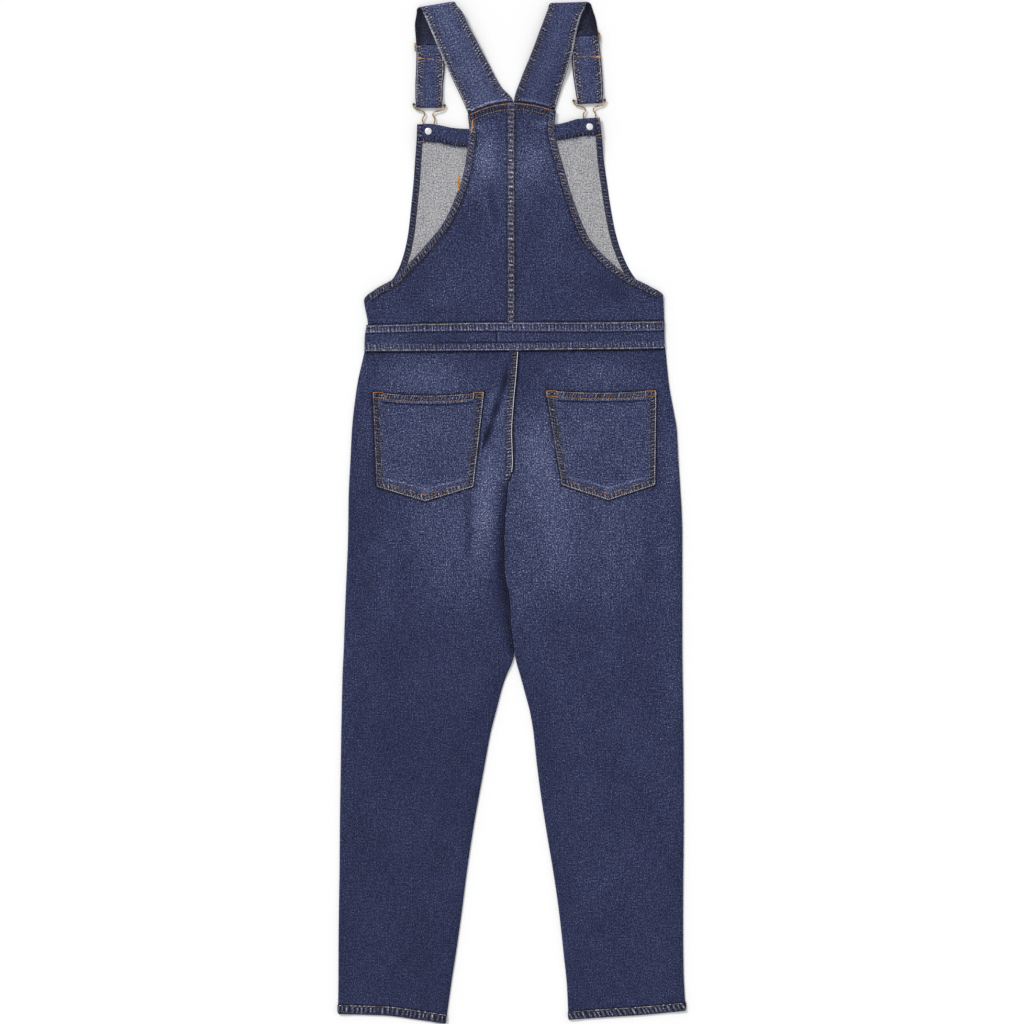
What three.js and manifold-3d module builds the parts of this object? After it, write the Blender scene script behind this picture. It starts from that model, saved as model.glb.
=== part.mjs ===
// Denim dungarees lying flat with their back up. Millimetres: X runs to the viewer's right, Y from the leg hems
// towards the straps, and Z up from the surface that they lie on. "Left" is the wearer's and the viewer's left.
import * as THREE from 'three';
import { mergeVertices } from 'three/addons/utils/BufferGeometryUtils.js';
import Module from 'manifold-3d';

const wasm = await Module();
wasm.setup();

// Cloth: one layer, the gap between pieces, and how far a felled seam or a turned hem stands above one layer.
const CLOTH = 1.2;
const GAP = 0.3;
const OVERLAY_GAP = 0.4;
const SEAM_RISE = 0.8;
const STEP = 1.5;

// Widths of hems and felled seams.
const LEG_HEM = 13;
const ARMHOLE_HEM = 10;
const SEAT_SEAM = 11;
const BACK_SEAM = 10.5;
const POCKET_HEM = 12;
const POCKET_EDGE = 10;
const BIB_SIDE_HEM = 9;

// Heights of the layers above the surface.
const BACK_LEG_HEIGHT = CLOTH + GAP;
const WAISTBAND_FRONT = 2.0;
const WAISTBAND_BACK = 2.4;
const BIB_LIFT = CLOTH + GAP;
const BACK_BIB_LOW = WAISTBAND_FRONT + GAP;
const BACK_BIB_HEIGHT = 2 * (CLOTH + GAP);

// Straps: two layers of cloth, tucked under the top of the back bib.
const STRAP_CLOTH = 2.0;

// Slider frame, hook wire, button and rivet.
const SLIDER = { width: 43, height: 13.6, bar: 1.9, depth: 1.4, corner: 2.2 };
const WIRE = 1.8;
const WIRE_HEIGHT = 3.3;
const KNOB = 3.4;
const BUTTON = { head: 17, headHeight: 2.0, neck: 5.4, top: 4.35 };
const RIVET = { width: 9.5, height: 1.3 };
const BUTTON_LIFT = 4.7;

const DENIM = 0x3c4263;
const DENIM_WORN = 0x4a5173;
const DENIM_DARK = 0x32385a;
const WRONG_SIDE = 0xa3a3a6;
const BRASS = 0xb08d4a;
const SILVER = 0xc9ccd0;

const part = new THREE.Group();

// Tables and curves.

function table(columns, rows) {
  const names = columns.split(' ');
  return rows.map((row) => Object.fromEntries(names.map((name, i) => [name, row[i]])));
}

const mix = (a, b, t) => a + (b - a) * t;

const clamp = (value, low, high) => Math.min(high, Math.max(low, value));

function ease(t) {
  const c = clamp(t, 0, 1);
  return c * c * (3 - 2 * c);
}

// Reads one column of a table against another, smoothly and without overshoot between the rows.
function reader(rows, key, value) {
  const sorted = [...rows].sort((a, b) => a[key] - b[key]);
  const slopes = sorted.slice(1).map((row, i) => (row[value] - sorted[i][value]) / (row[key] - sorted[i][key]));
  const tangents = sorted.map((row, i) => {
    const before = slopes[Math.max(0, i - 1)];
    const after = slopes[Math.min(slopes.length - 1, i)];
    return before * after > 0 ? (2 * before * after) / (before + after) : 0;
  });
  return (at) => {
    const inside = clamp(at, sorted[0][key], sorted[sorted.length - 1][key]);
    let i = 0;
    while (i < sorted.length - 2 && inside > sorted[i + 1][key]) i += 1;
    const span = sorted[i + 1][key] - sorted[i][key];
    const t = (inside - sorted[i][key]) / span;
    const rise = sorted[i + 1][value] - sorted[i][value];
    const bend = t * (1 - t) * span;
    const lean = (tangents[i] - slopes[i]) * (1 - t) - (tangents[i + 1] - slopes[i]) * t;
    return sorted[i][value] + rise * t + bend * lean;
  };
}

// Outlines of the garment as it lies.

const LEGS = table('y leftOuter leftInner rightInner rightOuter', [
  [228, -203.0, 9.0, 9.0, 211.5],
  [208, -204.0, 7.5, 7.5, 213.0],
  [188, -207.5, 6.0, 6.0, 215.0],
  [170, -214.5, 4.5, 4.5, 217.5],
  [137, -218.5, 1.5, 1.5, 223.0],
  [104, -221.5, 0.0, 0.0, 228.5],
  [60, -223.5, 1.5, 1.5, 230.0],
  [20, -225.5, -4.5, -4.5, 233.0],
  [-25, -226.0, -6.5, -6.5, 235.0],
  [-67, -227.5, -8.0, -8.0, 235.0],
  [-125, -230.0, 0.5, 0.5, 235.0],
  [-196, -232.5, 3.0, 3.6, 235.0],
  [-227, -234.0, -9.0, 11.5, 235.5],
  [-260, -234.5, -17.5, 21.0, 236.0],
  [-293, -235.5, -27.0, 28.0, 236.5],
  [-360, -236.5, -39.5, 35.5, 237.0],
  [-426, -237.5, -51.5, 45.0, 237.0],
  [-492, -238.0, -61.5, 56.0, 236.5],
  [-558, -239.0, -70.0, 65.5, 236.0],
  [-624, -239.5, -79.5, 72.5, 236.5],
  [-670, -239.5, -86.5, 77.0, 238.5],
  [-705, -240.8, -91.0, 78.0, 240.8],
]);

const CROTCH = -196;

const LEG_ENDS = table('x leftHem rightHem', [
  [-240, -691.5, 0],
  [-175, -693.5, 0],
  [-133, -698.8, 0],
  [-90, -705.2, 0],
  [78, 0, -700.5],
  [129, 0, -697.0],
  [177, 0, -694.0],
  [240, 0, -688.0],
]);

const WAIST = table('x top bottom', [
  [-202, 256.5, 222.7],
  [-112, 259.0, 223.1],
  [-16, 260.6, 223.8],
  [60, 260.6, 224.5],
  [130, 261.0, 225.2],
  [212, 262.4, 226.6],
]);

const WAIST_SIDES = table('y left right', [
  [262, -198.5, 210.4],
  [255, -201.5, 210.4],
  [237, -203.5, 210.6],
  [222, -203.8, 211.5],
]);

const BACK_BIB = table('y left right', [
  [556, -61.5, 60.5],
  [524, -58.5, 58.0],
  [502, -61.0, 63.0],
  [473, -65.5, 71.5],
  [446, -72.5, 79.0],
  [425, -82.0, 86.0],
  [401, -92.5, 95.0],
  [380, -109.0, 104.5],
  [360, -125.5, 120.0],
  [340, -145.0, 141.0],
  [326, -158.5, 160.0],
  [315, -172.0, 182.0],
  [306, -190.0, 200.0],
  [298, -204.8, 208.5],
  [286, -203.5, 209.3],
  [263, -199.0, 210.0],
]);

const BACK_BIB_TOP = table('x top', [
  [-63, 547.0],
  [-43, 556.0],
  [-20, 562.5],
  [2, 565.0],
  [25, 563.0],
  [46, 558.0],
  [61, 553.5],
]);

const FRONT_BIB = table('y left right', [
  [545, -130.5, 120.5],
  [535, -130.7, 122.0],
  [512, -131.5, 124.3],
  [485, -133.5, 126.3],
  [462, -135.0, 129.7],
  [422, -138.8, 135.5],
  [384, -143.0, 142.8],
  [354, -149.5, 152.5],
  [330, -159.0, 164.5],
  [316, -168.0, 176.0],
  [304, -187.0, 199.0],
  [294, -200.5, 207.5],
  [280, -200.5, 209.0],
  [263, -198.5, 210.0],
]);

const FRONT_BIB_TOP = table('x top', [
  [-131, 534.5],
  [-115, 535.3],
  [-98, 533.0],
  [-80, 529.5],
  [-58, 528.3],
  [0, 527.5],
  [58, 534.0],
  [74, 537.2],
  [91, 542.0],
  [121, 544.0],
]);

const FACING_BOTTOM = table('x bottom', [
  [-132, 511.3],
  [-103, 509.8],
  [-84, 505.5],
  [-60, 503.5],
  [0, 504.5],
  [60, 512.5],
  [82, 515.5],
  [103, 519.0],
  [124, 519.8],
]);

const BIB_POCKET = { left: -73, right: 73, top: 456, bottom: 308 };

// Patch pockets on the seat, from the corners of their cut shape and the sag of the top edge.
const SEAT_POCKETS = table('name topLeft topRight topY sag lowLeft lowRight lowY point pointY', [
  ['left', -192.5, -38.0, 166.0, 5.5, -187.0, -53.0, 34.5, -119.5, 14.5],
  ['right', 46.5, 199.5, 168.0, 3.5, 68.5, 198.0, 37.0, 133.0, 16.0],
]);

// Soft folds of the back panels: a ridge from one end to the other, its half width and its height.
const LEFT_FOLDS = table('x1 y1 x2 y2 width rise', [
  [-8, 196, -58, 60, 34, 1.2],
  [-56, 60, -57, -70, 17, 1.6],
  [-40, -120, -95, -250, 40, 1.0],
  [-150, -40, -190, -210, 42, 0.9],
  [-120, -330, -150, -520, 38, 0.8],
]);

const RIGHT_FOLDS = table('x1 y1 x2 y2 width rise', [
  [10, 40, 10, -180, 26, 1.8],
  [40, -30, 95, -220, 38, 1.0],
  [175, -20, 205, -190, 40, 0.9],
  [120, -330, 135, -540, 40, 0.8],
]);

const BIB_FOLDS = table('x1 y1 x2 y2 width rise', [
  [-45, 470, -70, 300, 34, 0.9],
  [55, 440, 95, 290, 36, 0.9],
]);

function foldRise(folds, x, y) {
  let rise = 0;
  for (const fold of folds) {
    const alongX = fold.x2 - fold.x1;
    const alongY = fold.y2 - fold.y1;
    const length = Math.hypot(alongX, alongY);
    const t = clamp(((x - fold.x1) * alongX + (y - fold.y1) * alongY) / length ** 2, 0, 1);
    const away = Math.hypot(x - fold.x1 - alongX * t, y - fold.y1 - alongY * t);
    rise += fold.rise * ease(1 - away / fold.width);
  }
  return rise;
}

// Solids from grids of points.

// Closes the slab between an upper and a lower grid of points with the same rows and columns.
function slab(upper, lower) {
  const rows = upper.length;
  const columns = upper[0].length;
  const positions = [...upper.flat(), ...lower.flat()].flat();
  const above = (j, i) => j * columns + i;
  const below = (j, i) => rows * columns + j * columns + i;
  const triangles = [];
  const quad = (a, b, c, d) => triangles.push(a, b, c, a, c, d);
  for (let j = 0; j < rows - 1; j += 1) {
    for (let i = 0; i < columns - 1; i += 1) {
      quad(above(j, i), above(j, i + 1), above(j + 1, i + 1), above(j + 1, i));
      quad(below(j, i), below(j + 1, i), below(j + 1, i + 1), below(j, i + 1));
    }
    quad(above(j, 0), above(j + 1, 0), below(j + 1, 0), below(j, 0));
    quad(above(j + 1, columns - 1), above(j, columns - 1), below(j, columns - 1), below(j + 1, columns - 1));
  }
  for (let i = 0; i < columns - 1; i += 1) {
    quad(above(0, i + 1), above(0, i), below(0, i), below(0, i + 1));
    quad(above(rows - 1, i), above(rows - 1, i + 1), below(rows - 1, i + 1), below(rows - 1, i));
  }
  const geometry = new THREE.BufferGeometry();
  geometry.setAttribute('position', new THREE.Float32BufferAttribute(positions, 3));
  geometry.setIndex(triangles);
  return geometry;
}

// Stations between two ends: distances from the low end, even parts between, and distances from the high end.
function stations(low, high, { near = [0], parts = 1, far = [0], spread = 1 }, nearScale = 1, farScale = 1) {
  const first = near.map((distance) => low + distance * nearScale);
  const last = far.map((distance) => high - distance * farScale);
  const from = first[first.length - 1];
  const middle = [];
  for (let k = 1; k < parts; k += 1) {
    middle.push(mix(from, last[0], (k / parts) ** spread));
  }
  return [...first, ...middle, ...last];
}

const upright = () => 1;

// The grid of a cloth panel. Its sides are read along Y and its ends along X. A slanting side's `slant` keeps
// distances square to it. `under` gives the height of the underside, and `thick` the cloth there from the
// distances to the panel's four edges and from Y.
function panelGrid({
  left, right, bottom, top, across, along, slantLeft = upright, slantRight = upright, under, thick,
}) {
  const rows = stations(0, 1, along).length;
  const columns = stations(0, 1, across).length;
  const upper = [];
  const lower = [];
  for (let j = 0; j < rows; j += 1) {
    upper.push([]);
    lower.push([]);
    for (let i = 0; i < columns; i += 1) {
      let x = mix(left(bottom(0)), right(bottom(0)), i / (columns - 1));
      let y = bottom(x);
      for (let pass = 0; pass < 6; pass += 1) {
        y = stations(bottom(x), top(x), along)[j];
        x = stations(left(y), right(y), across, slantLeft(y), slantRight(y))[i];
      }
      const edges = {
        left: (x - left(y)) / slantLeft(y),
        right: (right(y) - x) / slantRight(y),
        bottom: y - bottom(x),
        top: top(x) - y,
      };
      const z = under(x, y);
      lower[j].push([x, y, z]);
      upper[j].push([x, y, z + thick(edges, y)]);
    }
  }
  return { upper, lower };
}

// Height of a panel's top at a point, read from the flat faces between its own points.
function heightOn(grids) {
  return (x, y) => {
    for (const grid of grids) {
      for (let j = 0; j < grid.length - 1; j += 1) {
        for (let i = 0; i < grid[0].length - 1; i += 1) {
          const corners = [grid[j][i], grid[j][i + 1], grid[j + 1][i + 1], grid[j + 1][i]];
          for (const [a, b, c] of [[corners[0], corners[1], corners[2]], [corners[0], corners[2], corners[3]]]) {
            const area = (b[0] - a[0]) * (c[1] - a[1]) - (c[0] - a[0]) * (b[1] - a[1]);
            const u = ((x - a[0]) * (c[1] - a[1]) - (c[0] - a[0]) * (y - a[1])) / area;
            const v = ((b[0] - a[0]) * (y - a[1]) - (x - a[0]) * (b[1] - a[1])) / area;
            if (u >= -1e-6 && v >= -1e-6 && u + v <= 1 + 1e-6) {
              return a[2] + (b[2] - a[2]) * u + (c[2] - a[2]) * v;
            }
          }
        }
      }
    }
    return undefined;
  };
}

const band = (distance, width) => (distance <= width + 0.01 ? SEAM_RISE : 0);

function addMesh(name, geometry, color, metalness = 0, roughness = 0.9, place = part) {
  const material = new THREE.MeshStandardMaterial({ color, metalness, roughness });
  const mesh = new THREE.Mesh(geometry, material);
  mesh.name = name;
  place.add(mesh);
  return mesh;
}

// Legs: the back panels carry the folds, the turned leg hems and, on the left one, the felled seat seam.

function legEdges(side) {
  const outer = reader(LEGS, 'y', `${side}Outer`);
  const inner = reader(LEGS, 'y', `${side}Inner`);
  const half = GAP / 2;
  const hemRows = LEG_ENDS.filter((row) => row[`${side}Hem`] !== 0);
  const waist = reader(WAIST, 'x', 'bottom');
  return {
    left: side === 'left' ? outer : (y) => inner(y) + half,
    right: side === 'left' ? (y) => inner(y) - half : outer,
    bottom: reader(hemRows, 'x', `${side}Hem`),
    top: (x) => waist(x) - GAP,
  };
}

function backLeg(side, folds) {
  const seamed = side === 'left';
  const grid = panelGrid({
    ...legEdges(side),
    across: { parts: 8, far: seamed ? [SEAT_SEAM + STEP, SEAT_SEAM, 0] : [0] },
    along: { near: [0, LEG_HEM, LEG_HEM + STEP], parts: 24 },
    under: (x, y) => BACK_LEG_HEIGHT + foldRise(folds, x, y),
    thick: (edges, y) => {
      const seam = seamed && y > CROTCH ? band(edges.right, SEAT_SEAM) : 0;
      return CLOTH + Math.max(band(edges.bottom, LEG_HEM), seam);
    },
  });
  addMesh(`back_leg_${side}`, slab(grid.upper, grid.lower), DENIM);
  return grid.upper;
}

function frontLeg(side) {
  const grid = panelGrid({
    ...legEdges(side),
    across: { parts: 4 },
    along: { parts: 18 },
    under: () => 0,
    thick: () => CLOTH,
  });
  addMesh(`front_leg_${side}`, slab(grid.upper, grid.lower), DENIM_DARK);
}

const backLegTops = { left: backLeg('left', LEFT_FOLDS), right: backLeg('right', RIGHT_FOLDS) };
frontLeg('left');
frontLeg('right');

// Waistbands.

const waistEdges = {
  left: reader(WAIST_SIDES, 'y', 'left'),
  right: reader(WAIST_SIDES, 'y', 'right'),
  bottom: reader(WAIST, 'x', 'bottom'),
  top: reader(WAIST, 'x', 'top'),
};

function waistband(name, height, thickness, parts) {
  const grid = panelGrid({
    ...waistEdges,
    across: { parts },
    along: { parts: 2 },
    under: () => height,
    thick: () => thickness,
  });
  addMesh(name, slab(grid.upper, grid.lower), DENIM_DARK);
}

waistband('waistband_back', WAISTBAND_FRONT + GAP, WAISTBAND_BACK, 16);
waistband('waistband_front', 0, WAISTBAND_FRONT, 10);

// Front bib: flat on the surface, but raised over its pocket and over the buttons under its top corners.

const BUTTONS = table('side x y turn', [
  ['left', -115.5, 525.1, -0.035],
  ['right', 107.2, 531.3, 0.02],
]);

const POCKET_MARGIN = 24;
const POCKET_RAMP = 30;
const BUTTON_PLATEAU = 15;
const BUTTON_RAMP = 55;

function frontBibUnder(x, y) {
  const outX = Math.max(BIB_POCKET.left - x, x - BIB_POCKET.right, 0);
  const outY = Math.max(BIB_POCKET.bottom - y, y - BIB_POCKET.top, 0);
  const overPocket = BIB_LIFT * ease(1 - (Math.hypot(outX, outY) - POCKET_MARGIN) / POCKET_RAMP);
  const overButtons = BUTTONS.map((button) => {
    const away = Math.hypot(x - button.x, y - button.y);
    return BUTTON_LIFT * ease(1 - (away - BUTTON_PLATEAU) / BUTTON_RAMP);
  });
  return Math.max(overPocket, ...overButtons);
}

const frontBibEdges = {
  left: reader(FRONT_BIB, 'y', 'left'),
  right: reader(FRONT_BIB, 'y', 'right'),
  bottom: (x) => waistEdges.top(x) + GAP,
  top: reader(FRONT_BIB_TOP, 'x', 'top'),
};

const frontBibGrid = panelGrid({
  ...frontBibEdges,
  across: { parts: 16 },
  along: { parts: 15 },
  under: frontBibUnder,
  thick: () => CLOTH,
});
addMesh('front_bib', slab(frontBibGrid.upper, frontBibGrid.lower), WRONG_SIDE);

const pocketGrid = panelGrid({
  left: () => BIB_POCKET.left,
  right: () => BIB_POCKET.right,
  bottom: () => BIB_POCKET.bottom,
  top: () => BIB_POCKET.top,
  across: { parts: 2 },
  along: { parts: 2 },
  under: () => 0,
  thick: () => CLOTH,
});
addMesh('bib_pocket', slab(pocketGrid.upper, pocketGrid.lower), DENIM);

const onFrontBib = heightOn([frontBibGrid.upper]);

// What lies on the front bib keeps just inside its edge, so that a height is found under each of its points.
const INSIDE = 0.2;
const facingBottom = reader(FACING_BOTTOM, 'x', 'bottom');

const facingGrid = panelGrid({
  left: (y) => frontBibEdges.left(y) + INSIDE,
  right: (y) => frontBibEdges.right(y) - INSIDE,
  bottom: facingBottom,
  top: (x) => frontBibEdges.top(x) - INSIDE,
  across: { parts: 32 },
  along: { parts: 3 },
  under: (x, y) => (onFrontBib(x, y) ?? frontBibUnder(x, y) + CLOTH) + OVERLAY_GAP,
  thick: () => CLOTH,
});
addMesh('bib_facing', slab(facingGrid.upper, facingGrid.lower), DENIM);

// Turned hems down the sides of the front bib, from the facing to the side seams. They keep their width square to
// the edge, which flares out to the hips.

function edgeSlant(edge) {
  const reach = 2;
  return (y) => Math.hypot(1, (edge(y + reach) - edge(y - reach)) / (2 * reach));
}

const HEM_LOW = 296;

function bibHem(side) {
  const edge = frontBibEdges[side];
  const slant = edgeSlant(edge);
  const inward = side === 'left' ? 1 : -1;
  const outerLine = (y) => edge(y) + inward * INSIDE;
  const innerLine = (y) => edge(y) + inward * BIB_SIDE_HEM * slant(y);
  const top = (x) => facingBottom(x) - GAP;
  const grid = panelGrid({
    left: side === 'left' ? outerLine : innerLine,
    right: side === 'left' ? innerLine : outerLine,
    bottom: () => HEM_LOW,
    top,
    across: { parts: 1 },
    along: { parts: 18 },
    under: (x, y) => (onFrontBib(x, y) ?? frontBibUnder(x, y) + CLOTH) + OVERLAY_GAP,
    thick: () => CLOTH - 0.2,
  });
  addMesh(`bib_hem_${side}`, slab(grid.upper, grid.lower), DENIM);
}

bibHem('left');
bibHem('right');

// Back bib: two halves meeting at the centre back, with a turned hem along each armhole.

const bibCentre = () => 5;
const bibTop = reader(BACK_BIB_TOP, 'x', 'top');

// The back bib settles on the front one, and on the facing where that lies between them.
function backBibUnder(x, y) {
  const seamRamp = 26;
  const facingRamp = 20;
  const settled = mix(BACK_BIB_LOW, BACK_BIB_HEIGHT + 0.2, ease((y - waistEdges.top(x)) / seamRamp));
  const facing = (OVERLAY_GAP + CLOTH) * ease((y - facingBottom(x) + facingRamp + 6) / facingRamp);
  const front = frontBibUnder(x, y) + CLOTH + facing + OVERLAY_GAP;
  return Math.max(settled, front) + foldRise(BIB_FOLDS, x, y);
}

function backBib(side) {
  const armhole = reader(BACK_BIB, 'y', side);
  const slant = edgeSlant(armhole);
  const leftHalf = side === 'left';
  const hem = [0, ARMHOLE_HEM, ARMHOLE_HEM + STEP];
  const half = GAP / 2;
  const grid = panelGrid({
    left: leftHalf ? armhole : (y) => bibCentre(y) + half,
    right: leftHalf ? (y) => bibCentre(y) - half : armhole,
    bottom: (x) => waistEdges.top(x) + GAP,
    top: bibTop,
    slantLeft: leftHalf ? slant : upright,
    slantRight: leftHalf ? upright : slant,
    across: leftHalf
      ? { near: hem, parts: 5, far: [BACK_SEAM + STEP, BACK_SEAM, 0] }
      : { parts: 5, far: [...hem].reverse() },
    along: { parts: 17, spread: 1.45 },
    under: backBibUnder,
    thick: (edges) => {
      const hemRise = band(leftHalf ? edges.left : edges.right, ARMHOLE_HEM);
      const seamRise = leftHalf ? band(edges.right, BACK_SEAM) : 0;
      return CLOTH + Math.max(hemRise, seamRise);
    },
  });
  addMesh(`back_bib_${side}`, slab(grid.upper, grid.lower), DENIM);
}

backBib('left');
backBib('right');

// Patch pockets on the seat, lying on the leg panels, with a turned top hem and turned edges.

const onLegs = heightOn([backLegTops.left, backLegTops.right]);

for (const pocket of SEAT_POCKETS) {
  const middle = (pocket.topLeft + pocket.topRight) / 2;
  const halfWidth = (pocket.topRight - pocket.topLeft) / 2;
  const down = (y) => (pocket.topY - y) / (pocket.topY - pocket.lowY);
  const slopeLeft = (pocket.lowY - pocket.pointY) / (pocket.point - pocket.lowLeft);
  const slopeRight = (pocket.lowY - pocket.pointY) / (pocket.lowRight - pocket.point);
  const grid = panelGrid({
    left: (y) => mix(pocket.topLeft, pocket.lowLeft, down(y)),
    right: (y) => mix(pocket.topRight, pocket.lowRight, down(y)),
    bottom: (x) => pocket.pointY + Math.abs(x - pocket.point) * (x < pocket.point ? slopeLeft : slopeRight),
    top: (x) => pocket.topY - pocket.sag * Math.max(0, 1 - ((x - middle) / halfWidth) ** 2),
    across: { near: [0, POCKET_EDGE, POCKET_EDGE + STEP], parts: 6, far: [POCKET_EDGE + STEP, POCKET_EDGE, 0] },
    along: { near: [0, POCKET_EDGE, POCKET_EDGE + STEP], parts: 6, far: [POCKET_HEM + STEP, POCKET_HEM, 0] },
    under: (x, y) => onLegs(x, y) + OVERLAY_GAP,
    thick: (edges) => {
      const side = Math.min(edges.left, edges.right, edges.bottom);
      return CLOTH + Math.max(band(side, POCKET_EDGE), band(edges.top, POCKET_HEM));
    },
  });
  addMesh(`back_pocket_${pocket.name}`, slab(grid.upper, grid.lower), DENIM_WORN);
}

// Straps: each row of a run gives the two edges of the strap and the height of its middle.

const STRAPS = {
  left: {
    back: table('leftX leftY rightX rightY z', [
      [-56.5, 537.0, 0.5, 553.0, 1.95],
      [-61.5, 552.0, 1.2, 566.0, 1.95],
      [-74.0, 580.0, -15.5, 588.0, 2.6],
      [-88.0, 608.5, -36.0, 626.0, 4.9],
      [-96.5, 628.0, -46.5, 646.0, 7.5],
      [-107.0, 653.0, -60.5, 673.0, 7.8],
      [-117.0, 676.5, -68.5, 690.0, 8.2],
      [-124.0, 692.5, -77.0, 700.3, 8.2],
    ]),
    front: table('leftX leftY rightX rightY z', [
      [-131.5, 691.5, -84.5, 699.3, 1.0],
      [-134.0, 672.0, -91.5, 674.0, 1.0],
      [-132.0, 640.0, -94.2, 640.0, 1.0],
      [-132.5, 612.0, -93.0, 612.0, 1.0],
      [-133.5, 588.0, -95.0, 588.0, 1.0],
      [-133.5, 572.0, -95.5, 572.0, 1.0],
      [-132.5, 561.5, -96.5, 561.5, 1.0],
    ]),
    sliderX: -113.2,
    sliderY: 641.7,
    lean: 0.01,
  },
  right: {
    back: table('leftX leftY rightX rightY z', [
      [3.0, 552.5, 54.5, 540.0, 1.95],
      [2.8, 565.5, 59.0, 554.5, 1.95],
      [12.0, 597.0, 69.5, 589.5, 2.8],
      [20.5, 618.0, 77.5, 612.5, 5.0],
      [28.5, 638.0, 83.5, 634.0, 7.5],
      [37.5, 662.0, 88.5, 660.0, 7.9],
      [45.5, 683.5, 94.5, 683.0, 8.2],
      [50.5, 698.0, 101.5, 699.5, 8.2],
    ]),
    front: table('leftX leftY rightX rightY z', [
      [61.5, 697.5, 109.5, 699.0, 1.0],
      [73.5, 676.0, 116.0, 678.0, 1.0],
      [80.6, 651.5, 119.8, 653.5, 1.0],
      [83.5, 609.0, 124.5, 608.0, 1.0],
      [88.0, 577.0, 126.0, 578.5, 1.0],
      [89.5, 566.6, 125.0, 568.2, 1.0],
    ]),
    sliderX: 100.4,
    sliderY: 653.8,
    lean: 0.08,
  },
};

function section(row) {
  return { a: new THREE.Vector3(row.leftX, row.leftY, row.z), b: new THREE.Vector3(row.rightX, row.rightY, row.z) };
}

// Carries a section over a half turn to the next one, swinging out along `outward`, whose length stretches the turn.
function halfTurn(from, to, outward, steps) {
  const radius = Math.abs(from.a.z - to.a.z) / 2;
  const turned = [];
  for (let k = 1; k < steps; k += 1) {
    const angle = (Math.PI * k) / steps;
    const share = (1 - Math.cos(angle)) / 2;
    const swing = outward.clone().multiplyScalar(radius * Math.sin(angle));
    turned.push({
      a: from.a.clone().lerp(to.a, share).add(swing),
      b: from.b.clone().lerp(to.b, share).add(swing),
    });
  }
  return turned;
}

// A band of cloth through its sections, as thick as the strap, with its faces square to the way it runs.
function strip(sections, thickness, columns) {
  const middles = sections.map(({ a, b }) => a.clone().lerp(b, 0.5));
  const upper = [];
  const lower = [];
  sections.forEach(({ a, b }, j) => {
    const ahead = middles[Math.min(j + 1, middles.length - 1)];
    const behind = middles[Math.max(j - 1, 0)];
    const run = ahead.clone().sub(behind);
    const across = b.clone().sub(a);
    const normal = across.clone().cross(run).normalize().multiplyScalar(thickness / 2);
    const points = Array.from({ length: columns + 1 }, (_, i) => a.clone().lerp(b, i / columns));
    upper.push(points.map((point) => point.clone().add(normal).toArray()));
    lower.push(points.map((point) => point.clone().sub(normal).toArray()));
  });
  return slab(upper, lower);
}

const RETURN_RUN = 3.3;
const RETURN_OVER = 5.1;
const HOOK_TURN_TOP = 5.6;
const HOOK_TURN_REACH = 1.35;
const RETURN_INSET = 0.7;

// The strap's end comes back up from the hook's bar, over the slider's lower bar, and curls down round its middle
// bar. Each row: the distance above the hook's turn or the slider's middle, and the height of the cloth's middle.
const RETURN_ROWS = table('base up z', [
  ['hook', 6, 5.3],
  ['hook', 16, 3.6],
  ['hook', 30, RETURN_RUN],
  ['slider', -17, RETURN_RUN],
  ['slider', -8.5, RETURN_OVER],
  ['slider', 0, RETURN_OVER],
  ['slider', 1.3, 4.9],
  ['slider', 2.2, 4.3],
  ['slider', 2.5, 3.5],
]);

function strapSections({ back, front, sliderX, sliderY, lean }) {
  const over = back.map(section);
  const under = front.map(section);
  const shoulder = new THREE.Vector3(-0.12, 1, 0).normalize();
  const bar = under[under.length - 1];
  const leftAt = reader(front, 'leftY', 'leftX');
  const rightAt = reader(front, 'rightY', 'rightX');
  const barSlope = (bar.b.y - bar.a.y) / (bar.b.x - bar.a.x);
  const returned = RETURN_ROWS.map((row) => {
    const onHook = row.base === 'hook';
    const slope = onHook ? barSlope : Math.tan(lean);
    const pivotX = onHook ? bar.a.x : sliderX;
    const y = (onHook ? bar.a.y : sliderY) + row.up;
    const widthY = Math.min(y, sliderY - 2);
    const left = leftAt(widthY) + RETURN_INSET;
    const right = rightAt(widthY) - RETURN_INSET;
    return {
      a: new THREE.Vector3(left, y + slope * (left - pivotX), row.z),
      b: new THREE.Vector3(right, y + slope * (right - pivotX), row.z),
    };
  });
  const barTop = {
    a: new THREE.Vector3(bar.a.x, bar.a.y, HOOK_TURN_TOP),
    b: new THREE.Vector3(bar.b.x, bar.b.y, HOOK_TURN_TOP),
  };
  return [
    ...over,
    ...halfTurn(over[over.length - 1], under[0], shoulder, 6),
    ...under,
    ...halfTurn(bar, barTop, new THREE.Vector3(0, -HOOK_TURN_REACH, 0), 6),
    barTop,
    ...returned,
  ];
}

for (const side of ['left', 'right']) {
  addMesh(`strap_${side}`, strip(strapSections(STRAPS[side]), STRAP_CLOTH, 2), DENIM_WORN);
}

// Sliders: a flat brass frame with a middle bar, lying on the front run of the strap.

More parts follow.
